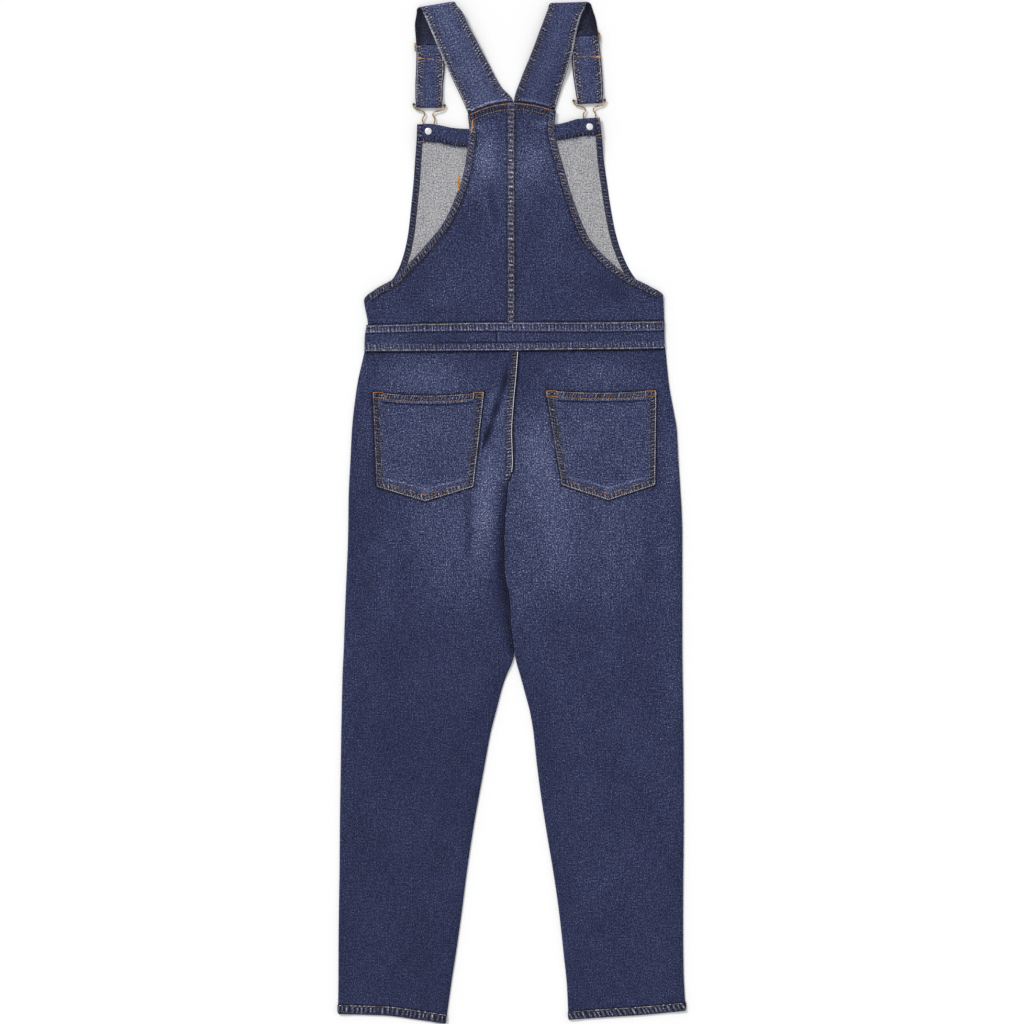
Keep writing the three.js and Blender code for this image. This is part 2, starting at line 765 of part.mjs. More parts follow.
function sliderGeometry() {
  const { width, height, bar, depth, corner } = SLIDER;
  const frame = new THREE.Shape();
  const x = width / 2;
  const y = height / 2;
  frame.moveTo(-x + corner, -y);
  frame.absarc(x - corner, -y + corner, corner, -Math.PI / 2, 0);
  frame.absarc(x - corner, y - corner, corner, 0, Math.PI / 2);
  frame.absarc(-x + corner, y - corner, corner, Math.PI / 2, Math.PI);
  frame.absarc(-x + corner, -y + corner, corner, Math.PI, Math.PI * 1.5);
  for (const side of [-1, 1]) {
    const inner = side * (bar / 2);
    const outer = side * (y - bar);
    const hole = new THREE.Path();
    hole.moveTo(-x + bar, inner);
    hole.lineTo(x - bar, inner);
    hole.lineTo(x - bar, outer);
    hole.lineTo(-x + bar, outer);
    hole.closePath();
    frame.holes.push(hole);
  }
  return new THREE.ExtrudeGeometry(frame, { depth, bevelEnabled: false, curveSegments: 4 });
}

for (const side of ['left', 'right']) {
  const { sliderX, sliderY, lean } = STRAPS[side];
  const slider = addMesh(`slider_${side}`, sliderGeometry(), BRASS, 0.9, 0.35);
  slider.position.set(sliderX, sliderY, STRAP_CLOTH + GAP);
  slider.rotation.z = lean;
}

// Hooks: a brass wire from a knob at one end of the strap's bar, round the button's neck and up to the other knob.
// The rows run from the bottom of the loop up its right side, measured from the button's centre.

const HOOK_HALF = table('x y', [
  [0, -4.9],
  [3.0, -3.9],
  [4.3, -1.0],
  [4.7, 3.0],
  [7.2, 10.5],
  [8.6, 16.0],
  [7.0, 20.3],
  [5.5, 23.2],
  [7.2, 26.6],
  [12.0, 28.4],
  [17.2, 29.8],
  [20.9, 32.6],
  [21.5, 36.6],
]);
const HOOK_BAR_Y = 36.6;
const HOOK_STEPS = 44;
const WIRE_SIDES = 7;

function toSolid(geometry) {
  const bare = new THREE.BufferGeometry();
  bare.setAttribute('position', geometry.getAttribute('position').clone());
  if (geometry.index) bare.setIndex(geometry.index.clone());
  const merged = mergeVertices(bare, 1e-4);
  return new wasm.Manifold(new wasm.Mesh({
    numProp: 3,
    vertProperties: new Float32Array(merged.getAttribute('position').array),
    triVerts: new Uint32Array(merged.index.array),
  }));
}

function toGeometry(solid) {
  const mesh = solid.getMesh();
  const geometry = new THREE.BufferGeometry();
  geometry.setAttribute('position', new THREE.BufferAttribute(new Float32Array(mesh.vertProperties), 3));
  geometry.setIndex(new THREE.BufferAttribute(new Uint32Array(mesh.triVerts), 1));
  return geometry;
}

function wireTube(points, steps) {
  const circle = new THREE.Shape();
  for (let k = 0; k < WIRE_SIDES; k += 1) {
    const angle = (2 * Math.PI * k) / WIRE_SIDES;
    const x = (WIRE / 2) * Math.cos(angle);
    const y = (WIRE / 2) * Math.sin(angle);
    if (k === 0) circle.moveTo(x, y);
    else circle.lineTo(x, y);
  }
  circle.closePath();
  const extrudePath = new THREE.CatmullRomCurve3(points, false, 'centripetal');
  return new THREE.ExtrudeGeometry(circle, { extrudePath, steps, bevelEnabled: false });
}

function hookGeometry() {
  const right = HOOK_HALF.map(({ x, y }) => new THREE.Vector3(x, y, 0));
  const left = HOOK_HALF.slice(1).map(({ x, y }) => new THREE.Vector3(-x, y, 0)).reverse();
  const reach = HOOK_HALF[HOOK_HALF.length - 1].x;
  const bar = new THREE.CylinderGeometry(WIRE / 2, WIRE / 2, 2 * reach, WIRE_SIDES);
  bar.rotateZ(Math.PI / 2);
  bar.translate(0, HOOK_BAR_Y, 0);
  let solid = toSolid(wireTube([...left, ...right], HOOK_STEPS)).add(toSolid(bar));
  for (const side of [-1, 1]) {
    const knob = new THREE.SphereGeometry(KNOB / 2, 8, 6);
    knob.translate(side * reach, HOOK_BAR_Y, 0);
    solid = solid.add(toSolid(knob));
  }
  return toGeometry(solid);
}

// Buttons under the bib's corners, and their rivets on the facing.

function turned(points, sides) {
  const profile = points.map(([radius, height]) => new THREE.Vector2(radius, height));
  const geometry = new THREE.LatheGeometry(profile, sides);
  geometry.rotateX(Math.PI / 2);
  return geometry;
}

function buttonGeometry() {
  const { head, headHeight, neck, top } = BUTTON;
  return turned([
    [0, 0],
    [head / 2 - 1.4, 0],
    [head / 2, 0.7],
    [head / 2, headHeight - 0.6],
    [head / 2 - 1.2, headHeight],
    [neck / 2, headHeight],
    [neck / 2, top],
    [0, top],
  ], 18);
}

function rivetGeometry() {
  const { width, height } = RIVET;
  return turned([
    [0, 0],
    [width / 2 - 0.2, 0],
    [width / 2, 0.4],
    [width / 2 - 1.0, height - 0.2],
    [0, height],
  ], 16);
}

const onFacing = heightOn([facingGrid.upper]);

for (const { side, x, y, turn } of BUTTONS) {
  const fastening = new THREE.Group();
  fastening.position.set(x, y, 0);
  part.add(fastening);
  addMesh(`button_${side}`, buttonGeometry(), BRASS, 0.9, 0.4, fastening);
  const hook = addMesh(`hook_${side}`, hookGeometry(), BRASS, 0.9, 0.3, fastening);
  hook.position.z = WIRE_HEIGHT;
  hook.rotation.z = turn;
  const rivet = addMesh(`rivet_${side}`, rivetGeometry(), SILVER, 0.9, 0.3, fastening);
  rivet.position.z = onFacing(x, y) + GAP;
}

export default part;
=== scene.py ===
import math

import bpy
import numpy as np
from mathutils.bvhtree import BVHTree
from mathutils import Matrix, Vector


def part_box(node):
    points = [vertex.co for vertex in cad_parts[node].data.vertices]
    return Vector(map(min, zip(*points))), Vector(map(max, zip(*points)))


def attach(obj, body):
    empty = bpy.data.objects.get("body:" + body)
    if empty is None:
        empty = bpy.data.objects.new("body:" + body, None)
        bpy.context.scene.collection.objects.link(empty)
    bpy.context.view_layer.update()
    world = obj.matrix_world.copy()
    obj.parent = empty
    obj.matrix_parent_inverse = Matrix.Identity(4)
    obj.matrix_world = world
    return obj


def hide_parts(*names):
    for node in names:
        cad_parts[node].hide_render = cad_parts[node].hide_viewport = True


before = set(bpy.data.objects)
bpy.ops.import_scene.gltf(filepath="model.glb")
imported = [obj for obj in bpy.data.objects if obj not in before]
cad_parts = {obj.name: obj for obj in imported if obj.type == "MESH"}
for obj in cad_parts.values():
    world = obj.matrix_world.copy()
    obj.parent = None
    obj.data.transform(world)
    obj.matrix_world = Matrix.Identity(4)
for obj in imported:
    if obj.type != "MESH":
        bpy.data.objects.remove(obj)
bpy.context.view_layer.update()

MM = 0.001

# Cloth and the layers of the stack.
CLOTH = 1.2 * MM
LEG_SEAM_HEIGHT = 1.35 * MM
WAIST_SEAM_HEIGHT = 2.2 * MM
BIB_SEAM_HEIGHT = 2.0 * MM
CLEAR = 0.12 * MM
# Height of the painted-shade strips above the cloth.
SHADE_STRIP_CLEAR = 0.06 * MM
STRAP_CLOTH = 2.0 * MM

# Sewing.
STITCH = 3.0 * MM
STITCH_GAP = 0.75 * MM
THREAD = 0.48 * MM
LEG_HEM = 11.6 * MM
HEM_FLARE = 0.9 * MM
ARMHOLE_HEM = 9.5 * MM
BACK_SEAM = 10.5 * MM
SEAT_SEAM = 9.7 * MM
TOP_HEM = 12.5 * MM
BIB_SIDE_HEM = 8.5 * MM
RIBBON_STEP = 1.15 * MM

CROTCH_Y = -196 * MM
SEAT_SEAM_END_Y = 44 * MM
HIP_Y = 298 * MM


# Tables, curves and stations.

def table(columns, rows):
    """A list of rows, each a dict, with lengths given in millimetres turned to metres."""
    names = columns.split()
    lengths = [name for name in names if name not in ("side", "strength", "share")]
    return [
        {name: value * MM if name in lengths else value for name, value in zip(names, row)}
        for row in rows
    ]


def ease(t):
    t = np.clip(t, 0, 1)
    return t * t * (3 - 2 * t)


def reader(at, value):
    """A smooth curve through points, without overshoot between them, for numbers and for arrays."""
    at, value = np.asarray(at, float), np.asarray(value, float)
    order = np.argsort(at, kind="stable")
    at, value = at[order], value[order]
    keep = np.concatenate([[True], np.diff(at) > 1e-6])
    at, value = at[keep], value[keep]
    slopes = np.diff(value) / np.diff(at)
    before = np.concatenate([slopes[:1], slopes])
    after = np.concatenate([slopes, slopes[-1:]])
    same = before * after > 0
    total = np.where(same, before + after, 1)
    tangents = np.where(same, 2 * before * after / total, 0)

    def curve(x):
        x = np.clip(x, at[0], at[-1])
        i = np.clip(np.searchsorted(at, x) - 1, 0, len(at) - 2)
        span = at[i + 1] - at[i]
        t = (x - at[i]) / span
        lean = (tangents[i] - slopes[i]) * (1 - t) - (tangents[i + 1] - slopes[i]) * t
        return value[i] + (value[i + 1] - value[i]) * t + t * (1 - t) * span * lean

    return curve


def stations(near, parts, far):
    """Shares and offsets of the lines across a panel: distances from one edge, even parts, and distances from
    the other edge."""
    inner = np.arange(1, parts) / parts
    share = np.concatenate([np.zeros(len(near)), inner, np.ones(len(far))])
    offset = np.concatenate([near, near[-1] * (1 - inner) - far[-1] * inner, -np.asarray(far[::-1])])
    return share, offset


EDGE_ROUND = [0.0, 0.12 * MM, 0.35 * MM, 0.75 * MM, 1.4 * MM]
EDGE_SOFT = EDGE_ROUND + [2.4 * MM, 4.0 * MM]


def soften(heights, passes):
    """Evens out a grid of heights, so that the flat faces of a solid read as one smooth surface."""
    for _ in range(passes):
        wide = np.pad(heights, 1, mode="edge")
        heights = (wide[:-2, 1:-1] + wide[2:, 1:-1] + wide[1:-1, :-2] + wide[1:-1, 2:] + 4 * heights) / 8
    return heights


def waves(along, pitch, seed):
    """An uneven rope of puckers along a seam, from -1 to 1."""
    turn = along / pitch
    drift = 0.22 * np.sin(turn * 0.65 + seed) + 0.12 * np.sin(turn * 1.71 + 2.3 * seed)
    swell = 0.84 + 0.16 * np.sin(turn * 2.3 + 4.1 * seed)
    return np.sin(2 * math.pi * (turn + drift)) * swell


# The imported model: outlines and heights of its panels.

def cad_faces(node):
    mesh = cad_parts[node].data
    mesh.calc_loop_triangles()
    points = np.array([v.co for v in mesh.vertices])
    triangles = np.array([t.vertices for t in mesh.loop_triangles])
    return points, triangles


class Outline:
    """The four edges of a panel, from the loop round the upper faces of its solid."""

    def __init__(self, node, smooth=True):
        points, triangles = cad_faces(node)
        a, b, c = (points[triangles[:, k]] for k in range(3))
        normal = np.cross(b - a, c - a)
        upward = normal[:, 2] > 0.3 * np.linalg.norm(normal, axis=1)
        ahead = {}
        for triangle in triangles[upward]:
            keys = [(round(float(points[i][0]), 6), round(float(points[i][1]), 6)) for i in triangle]
            for start, end in zip(keys, keys[1:] + keys[:1]):
                if start in ahead.get(end, ()):
                    ahead[end].remove(start)
                else:
                    ahead.setdefault(start, []).append(end)
        ahead = {start: ends for start, ends in ahead.items() if ends}
        first = min(ahead, key=lambda p: p[0] + p[1])
        loop = [first]
        while ahead[loop[-1]][0] != first:
            loop.append(ahead[loop[-1]][0])
        loop = np.array(loop)
        x, y = loop[:, 0], loop[:, 1]
        corners = [0, int(np.argmax(x - y)), int(np.argmax(x + y)), int(np.argmax(y - x)), len(loop)]
        closed = np.concatenate([loop, loop[:1]])
        runs = [closed[i:j + 1] for i, j in zip(corners[:-1], corners[1:])]
        self.runs = dict(zip(("bottom", "right", "top", "left"), runs))
        read = reader if smooth else lambda at, value: straight(at, value)
        self.bottom = read(runs[0][:, 0], runs[0][:, 1])
        self.right = read(runs[1][:, 1], runs[1][:, 0])
        self.top = read(runs[2][:, 0], runs[2][:, 1])
        self.left = read(runs[3][:, 1], runs[3][:, 0])


def straight(at, value):
    order = np.argsort(at)
    return lambda x: np.interp(x, np.asarray(at)[order], np.asarray(value)[order])


class Ground:
    """Heights of what is already there, seen from above or from below."""

    def __init__(self, points, faces):
        self.tree = BVHTree.FromPolygons([tuple(p) for p in points], [tuple(f) for f in faces])

    @classmethod
    def of_node(cls, node):
        return cls(*cad_faces(node))

    @classmethod
    def of_pieces(cls, *pieces):
        points, faces = [], []
        for piece in pieces:
            start = len(points)
            points += [tuple(v.co) for v in piece.data.vertices]
            faces += [[start + i for i in p.vertices] for p in piece.data.polygons]
        return cls(points, faces)

    def at(self, x, y, above=True):
        reach, sense = (0.1, -1) if above else (-0.1, 1)
        x, y = np.broadcast_arrays(np.asarray(x, float), np.asarray(y, float))
        heights = np.empty(x.size)
        for k, (px, py) in enumerate(zip(x.ravel(), y.ravel())):
            hit = self.tree.ray_cast((px, py, reach), (0, 0, sense))[0]
            if hit is None:
                hit = self.tree.find_nearest((px, py, 0.003))[0]
            heights[k] = hit.z
        return heights.reshape(x.shape)


# Meshes: closed thin shells from grids of points.

def quads(index):
    return np.stack([index[:-1, :-1], index[:-1, 1:], index[1:, 1:], index[1:, :-1]], -1).reshape(-1, 4)


def rim(index, under):
    """The narrow side faces that join an upper grid of corners to the lower one."""
    sides = [
        (index[:-1, 0], index[1:, 0], under[1:, 0], under[:-1, 0]),
        (index[1:, -1], index[:-1, -1], under[:-1, -1], under[1:, -1]),
        (index[0, 1:], index[0, :-1], under[0, :-1], under[0, 1:]),
        (index[-1, :-1], index[-1, 1:], under[-1, 1:], under[-1, :-1]),
    ]
    return np.concatenate([np.stack(side, -1) for side in sides])


def add_piece(name, points, faces, weave, tint, materials, face_material=None):
    """Adds a mesh with its cloth coordinates in `weave`, and its fading, rubbing, painted shade and greyness
    in `tint`.
    """
    mesh = bpy.data.meshes.new(name)
    mesh.from_pydata([tuple(p) for p in points], [], [tuple(int(i) for i in f) for f in faces])
    mesh.validate()
    for key, values in (("weave", weave), ("tint", tint)):
        if values is not None:
            attribute = mesh.attributes.new(key, "FLOAT_VECTOR", "POINT")
            attribute.data.foreach_set("vector", np.asarray(values, np.float32).ravel())
    for material in materials:
        mesh.materials.append(material)
    if face_material is not None:
        mesh.polygons.foreach_set("material_index", np.asarray(face_material, np.int32))
    mesh.polygons.foreach_set("use_smooth", [True] * len(mesh.polygons))
    piece = bpy.data.objects.new(f"{name}_surface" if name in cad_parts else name, mesh)
    bpy.context.scene.collection.objects.link(piece)
    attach(piece, "root")
    return piece


def shell(name, upper, lower, weave, fade, crest, materials, turned=0, grey=0.0):
    """Closes the cloth between an upper and a lower grid of points. A second material goes underneath, and
    over as many columns as are turned up at each side."""
    rows, columns = upper.shape[:2]
    index = np.arange(rows * columns).reshape(rows, columns)
    under = index + rows * columns
    top, bottom, sides = quads(index), quads(under)[:, ::-1], rim(index, under)
    points = np.concatenate([upper.reshape(-1, 3), lower.reshape(-1, 3)])
    tint = np.stack([fade, crest, np.broadcast_to(grey, fade.shape)], -1).reshape(-1, 3)
    lower_tint = tint * [1, 0, 1]
    column = np.tile(np.arange(columns - 1), rows - 1)
    at_side = np.minimum(column, columns - 2 - column) < turned
    last = len(materials) - 1
    slots = np.concatenate([
        np.where(at_side, last, 0), np.full(len(bottom), last), np.full(len(sides), last if turned else 0),
    ])
    return add_piece(
        name, points, np.concatenate([top, bottom, sides]),
        np.concatenate([weave.reshape(-1, 3)] * 2), np.concatenate([tint, lower_tint]), materials, slots,
    )


class Panel:
    """A flat-lying panel of cloth: a grid fitted between its edges, with each point's distance to them."""

    def __init__(self, outline, across, along, grow=None):
        grow = grow or {}
        self.left = grow.get("left", outline.left)
        self.right = grow.get("right", outline.right)
        self.bottom = grow.get("bottom", outline.bottom)
        self.top = grow.get("top", outline.top)
        share_x, offset_x = across
        share_y, offset_y = along
        share_y, offset_y = share_y[:, None], offset_y[:, None]
        x = np.zeros((len(share_y), len(share_x)))
        y = np.zeros_like(x)
        for _ in range(9):
            y = self.bottom(x) * (1 - share_y) + self.top(x) * share_y + offset_y
            x = self.left(y) * (1 - share_x) + self.right(y) * share_x + offset_x
        self.x, self.y = x, y
        self.to_left, self.to_right = x - self.left(y), self.right(y) - x
        self.to_bottom, self.to_top = y - self.bottom(x), self.top(x) - y

    def resting(self, node, passes=14):
        """The height of the underside of the solid that the panel stands for."""
        ground = Ground.of_node(node)
        centre_x = (self.left(self.y) + self.right(self.y)) / 2
        centre_y = (self.bottom(self.x) + self.top(self.x)) / 2
        inside = 0.997
        x = centre_x + (self.x - centre_x) * inside
        y = centre_y + (self.y - centre_y) * inside
        return soften(ground.at(x, y, above=False), passes)

    def build(
        self, name, low, thick, fade, crest, materials, folds=(), free=(), seed=0.0, turned=0, grey=0.0,
    ):
        """Makes the shell. `free` edges are rounded on the cloth's own thickness; `folds` are edges, each
        with a height and a strength, where the cloth rolls over to meet the panel on the other side."""
        high = low + thick
        radius = 0.6 * MM
        roundness = np.ones_like(high)
        middle = (high + low) / 2
        distance = {
            "left": self.to_left, "right": self.to_right, "bottom": self.to_bottom, "top": self.to_top,
        }
        for edge in free:
            t = np.clip(1 - distance[edge] / radius, 0, 1)
            roundness = np.minimum(roundness, np.sqrt(1 - t * t))
        roundness = np.maximum(roundness, 0.16)
        top_height = middle + (high - middle) * roundness
        low_height = middle + (low - middle) * roundness
        for edge, height, strength in folds:
            reach = np.abs(high - height).mean() * 1.25
            t = np.clip(1 - distance[edge] / reach, 0, 1)
            share = 1 - strength + strength * np.maximum(np.sqrt(1 - t * t), 0.03)
            top_height = height + (top_height - height) * share
            low_height = height + (low_height - height) * share
        upper = np.stack([self.x, self.y, top_height], -1)
        lower = np.stack([self.x, self.y, low_height], -1)
        weave = np.stack([self.x, self.y, np.full_like(self.x, seed)], -1)
        fade, crest = np.broadcast_to(fade, high.shape), np.broadcast_to(crest, high.shape)
        return shell(name, upper, lower, weave, fade, crest, materials, turned, grey)


class Track:
    """A line on the garment, in even steps, with the direction to its right."""

    def __init__(self, points, step=RIBBON_STEP):
        points = np.asarray(points, float)
        length = np.concatenate([[0], np.cumsum(np.linalg.norm(np.diff(points, axis=0), axis=1))])
        count = max(2, int(round(length[-1] / step)) + 1)
        self.s = np.linspace(0, length[-1], count)
        self.p = np.stack([np.interp(self.s, length, points[:, k]) for k in (0, 1)], -1)
        ahead = np.gradient(self.p, self.s, axis=0)
        for _ in range(3):
            ahead[1:-1] = (ahead[:-2] + 2 * ahead[1:-1] + ahead[2:]) / 4
        ahead /= np.linalg.norm(ahead, axis=1)[:, None]
        self.ahead = ahead
        self.right = np.stack([ahead[:, 1], -ahead[:, 0]], -1)

    def off(self, distance):
        return self.p + self.right * distance


def side_track(outline, side, low, high, step=RIBBON_STEP):
    """Along a panel's side edge, with the panel on its right."""
    y = np.linspace(low, high, 400)
    x = getattr(outline, side)(y)
    line = np.stack([x, y], -1)
    return Track(line if side == "left" else line[::-1], step)


def end_track(outline, end, low, high, step=RIBBON_STEP):
    """Along a panel's bottom or top edge, with the panel on its right."""
    x = np.linspace(low, high, 300)
    line = np.stack([x, getattr(outline, end)(x)], -1)
    return Track(line[::-1] if end == "bottom" else line, step)


def felled_offsets(width):
    """Distances of the lines along a felled seam, closest together at its folded edge."""
    edge = [-3.2, -2.0, -1.2, -0.5, 0.0, 0.3]
    return np.concatenate([edge, np.linspace(0.8, width / MM + 3, 15)]) * MM


def groove(distance, width=0.55 * MM):
    return np.exp(-((distance / width) ** 2))


class Rope:
    """The relief of a sewn band: puffed between its edges, pressed in at its rows of stitches, and puckered
    between them."""

    def __init__(
        self, low, high, rows, puff=0.55, depth=0.32, pitch=5.4, slant=0.5, seed=0.0, wear=0.5,
        edge_shades=(0, 0),
        tone=0.0, grey=0.7,
    ):
        self.low, self.high, self.rows, self.edge_shades = low, high, rows, edge_shades
        self.tone, self.grey = tone, grey
        self.puff, self.depth, self.pitch = puff * MM, depth * MM, pitch * MM
        self.slant, self.seed, self.wear = slant, seed, wear

    def relief(self, across, along):
        inside = ease((across - self.low) / (1.2 * MM)) * ease((self.high - across) / (1.6 * MM))
        rope = waves(along + self.slant * across, self.pitch, self.seed)
        between = np.clip(np.sin(math.pi * (across - self.low) / (self.high - self.low)), 0, 1) ** 0.7
        pressed = sum(groove(across - row) for row in self.rows)
        rise = self.puff * inside + self.depth * rope * between * inside - 0.3 * MM * pressed
        inner = ease((across - self.low) / (0.8 * MM) + 0.5) * ease((self.high - across) / (0.8 * MM) + 0.5)
        puckers = np.where(rope > 0, 1.35 * np.abs(rope) ** 1.8, -0.6 * np.abs(rope) ** 0.7)
        crest = (self.tone + self.wear * puckers * between - 0.35 * pressed) * inner
        # Painted shade beside the band's edges, by their strengths in edge_shades; a negative strength makes
        # that edge paler instead.
        for edge, strength in zip((self.low, self.high), self.edge_shades):
            crest = crest - strength * groove(across - edge, 1.5 * MM)
        return rise, crest, self.grey * inner


def ribbon(
    name, track, offsets, rope, ground, material, fade, wrap=None, seed=0.0, inset=-1.0, clear=CLEAR,
    ends=0.0,
    under=None,
):
    """A sewn band along a track, from one offset to another, fitted to what lies under it. With `wrap`, its
    outer edge goes down the side of the panel by that much, and so do its ends where they pass the panel by
    `ends`. It sinks where `under`, a reach across it for each place along it, says that another panel
    covers it."""
    offsets = np.asarray(offsets)
    across = offsets[None, :] + np.zeros((len(track.s), 1))
    along = track.s[:, None] + np.zeros((1, len(offsets)))
    to_end = np.minimum(along, track.s[-1] - along)
    if ends:
        corner = 4.0 * MM
        cut = corner - np.sqrt(corner ** 2 - np.clip(corner - to_end, 0, corner) ** 2)
        across = np.maximum(across, offsets[0] + cut)
    xy = track.p[:, None, :] + track.right[:, None, :] * across[..., None]
    if ends:
        kept = np.clip(along, ends + 0.4 * MM, track.s[-1] - ends - 0.4 * MM)
        back = np.where(across > rope.high, kept - along, 0)
        xy = xy + track.ahead[:, None, :] * back[..., None]
    under_xy = track.p[:, None, :] + track.right[:, None, :] * np.maximum(across, inset)[..., None]
    floor = ground.at(under_xy[..., 0], under_xy[..., 1])
    if ends:
        first = int(math.ceil((ends + 1.6 * MM) / (track.s[1] - track.s[0])))
        floor[:first], floor[-first:] = floor[first], floor[-first - 1]
    rise, crest, grey = rope.relief(across, along)
    height = floor + clear + rise
    if wrap is not None:
        outer = np.clip((across - offsets[0]) / (1.0 * MM), 0, 1)
        turned = np.sqrt(1 - (1 - outer) ** 2)
        crest = crest + 0.9 * rope.wear * (1 - turned)
        if ends:
            outer = np.minimum(outer, np.clip(to_end / (1.2 * MM), 0, 1))
            turned = np.sqrt(1 - (1 - outer) ** 2)
        height = height - (wrap + rise) * (1 - turned)
    if under is not None:
        height = height - 1.3 * MM * ease((under(along) - across) / (1.2 * MM))
    upper = np.concatenate([xy, height[..., None]], -1)
    rows, columns = len(track.s), len(offsets)
    sunk = 0.25 * MM
    left = np.stack([xy[:, 0, 0], xy[:, 0, 1], np.minimum(height[:, 0], floor[:, 0]) - sunk], -1)
    right = np.stack([xy[:, -1, 0], xy[:, -1, 1], np.minimum(height[:, -1], floor[:, -1]) - sunk], -1)
    index = np.arange(rows * columns).reshape(rows, columns)
    low_left = rows * columns + np.arange(rows)
    low_right = low_left + rows
    faces = [list(f) for f in quads(index)]
    for j in range(rows - 1):
        faces.append([low_left[j], low_left[j + 1], low_right[j + 1], low_right[j]])
        faces.append([index[j, 0], index[j + 1, 0], low_left[j + 1], low_left[j]])
        faces.append([index[j + 1, -1], index[j, -1], low_right[j], low_right[j + 1]])
    faces.append([low_left[0], low_right[0], *index[0, ::-1]])
    faces.append([low_right[-1], low_left[-1], *index[-1]])
    points = np.concatenate([upper.reshape(-1, 3), left, right])
    grid_weave = np.stack([xy[..., 0], xy[..., 1], np.full_like(along, seed)], -1)
    fade_grid = np.broadcast_to(fade(xy[..., 0], xy[..., 1]) if callable(fade) else fade, across.shape)
    tint = np.stack([fade_grid, crest, grey], -1)
    weave = np.concatenate([grid_weave.reshape(-1, 3), grid_weave[:, 0], grid_weave[:, -1]])
    tints = np.concatenate([tint.reshape(-1, 3), tint[:, 0] * [1, 0, 1], tint[:, -1] * [1, 0, 1]])
    return add_piece(name, points, faces, weave, tints, [material])


class PaintedShade:
    """Painted shade beside a seam, an edge or a fold, darkest next to it, where the cloth above would shade
    it; in part it also stands for dye that rubbing has not reached there.
    """

    def __init__(self, strength, width, wide_strength=0.0, wide_width=6.0 * MM):
        self.strength, self.width = strength, width
        self.wide_strength, self.wide_width = wide_strength, wide_width

    def relief(self, across, along):
        uneven = 0.82 + 0.18 * waves(along, 19 * MM, self.width * 3000)
        narrow = self.strength * uneven * groove(np.maximum(across, 0), self.width)
        wide = self.wide_strength * groove(np.maximum(across, 0), self.wide_width)
        return np.zeros_like(across), -narrow - wide, np.zeros_like(across)


# A thin strip lying on the cloth that carries painted shade along a track.
def painted_shade_line(name, track, hollow, ground, fade, seed, reach=4.0 * MM, material=None):
    offsets = np.array([-0.6, 0.0, 0.5, 1.0, 1.5, 2.0, 2.7, 3.4, 4.2, 5.2])
    offsets = np.concatenate([offsets[offsets < reach / MM - 0.3], [reach / MM]])
    cloth_material = material or DENIM
    return ribbon(
        name, track, offsets * MM, hollow, ground, cloth_material, fade, seed=seed, clear=SHADE_STRIP_CLEAR,
    )


# Materials.

def linear(red, green, blue):
    """A colour seen as sRGB numbers up to 255, as the linear one that a shader takes."""
    channels = [c / 255 for c in (red, green, blue)]
    return (*[c / 12.92 if c <= 0.04045 else ((c + 0.055) / 1.055) ** 2.4 for c in channels], 1.0)


class Nodes:
    """Short calls for building a material's node tree."""

    def __init__(self, name):
        self.material = bpy.data.materials.new(name)
        self.material.use_nodes = True
        self.tree = self.material.node_tree
        self.tree.nodes.clear()
        self.output = self.tree.nodes.new("ShaderNodeOutputMaterial")
        self.shader = self.tree.nodes.new("ShaderNodeBsdfPrincipled")
        self.tree.links.new(self.shader.outputs["BSDF"], self.output.inputs["Surface"])

    def link(self, source, target):
        if hasattr(source, "is_output"):
            self.tree.links.new(source, target)
        else:
            target.default_value = source

    def math(self, operation, first, second=0.0, third=0.0):
        node = self.tree.nodes.new("ShaderNodeMath")
        node.operation = operation
        for value, socket in zip((first, second, third), node.inputs):
            self.link(value, socket)
        return node.outputs[0]

    def weighted(self, *terms):
        """The sum of value times weight over the terms."""
        total = 0.0
        for value, weight in terms:
            total = self.math("MULTIPLY_ADD", value, weight, total)
        return total

    def attribute(self, name):
        node = self.tree.nodes.new("ShaderNodeAttribute")
        node.attribute_name = name
        return node.outputs["Vector"]

    def parts(self, vector):
        node = self.tree.nodes.new("ShaderNodeSeparateXYZ")
        self.link(vector, node.inputs[0])
        return node.outputs

    def scaled(self, vector, scale):
        node = self.tree.nodes.new("ShaderNodeVectorMath")
        node.operation = "MULTIPLY"
        self.link(vector, node.inputs[0])
        node.inputs[1].default_value = scale
        return node.outputs[0]

    def noise(self, vector, scale, detail=2.0, roughness=0.5):
        node = self.tree.nodes.new("ShaderNodeTexNoise")
        node.inputs["Scale"].default_value = 1.0
        node.inputs["Detail"].default_value = detail
        node.inputs["Roughness"].default_value = roughness
        self.link(self.scaled(vector, scale), node.inputs["Vector"])
        return self.math("SUBTRACT", node.outputs["Fac"], 0.5)

    def ramp(self, value, stops):
        node = self.tree.nodes.new("ShaderNodeValToRGB")
        self.link(value, node.inputs[0])
        elements = node.color_ramp.elements
        while len(elements) < len(stops):
            elements.new(0.5)
        for element, (position, colour) in zip(elements, stops):
            element.position = position
            element.color = linear(*colour)
        return node.outputs[0]

    def mixed(self, share, first, second):
        node = self.tree.nodes.new("ShaderNodeMix")
        node.data_type = "RGBA"
        self.link(share, node.inputs["Factor"])
        for key, colour in (("A", first), ("B", second)):
            self.link(colour, next(s for s in node.inputs if s.name == key and s.type == "RGBA"))
        return next(s for s in node.outputs if s.type == "RGBA")

    def bump(self, height, distance, strength):
        node = self.tree.nodes.new("ShaderNodeBump")
        node.inputs["Strength"].default_value = strength
        node.inputs["Distance"].default_value = distance
        self.link(height, node.inputs["Height"])
        self.link(node.outputs[0], self.shader.inputs["Normal"])

    def set(self, **values):
        for key, value in values.items():
            self.link(value, self.shader.inputs[key.replace("_", " ")])
        return self.material


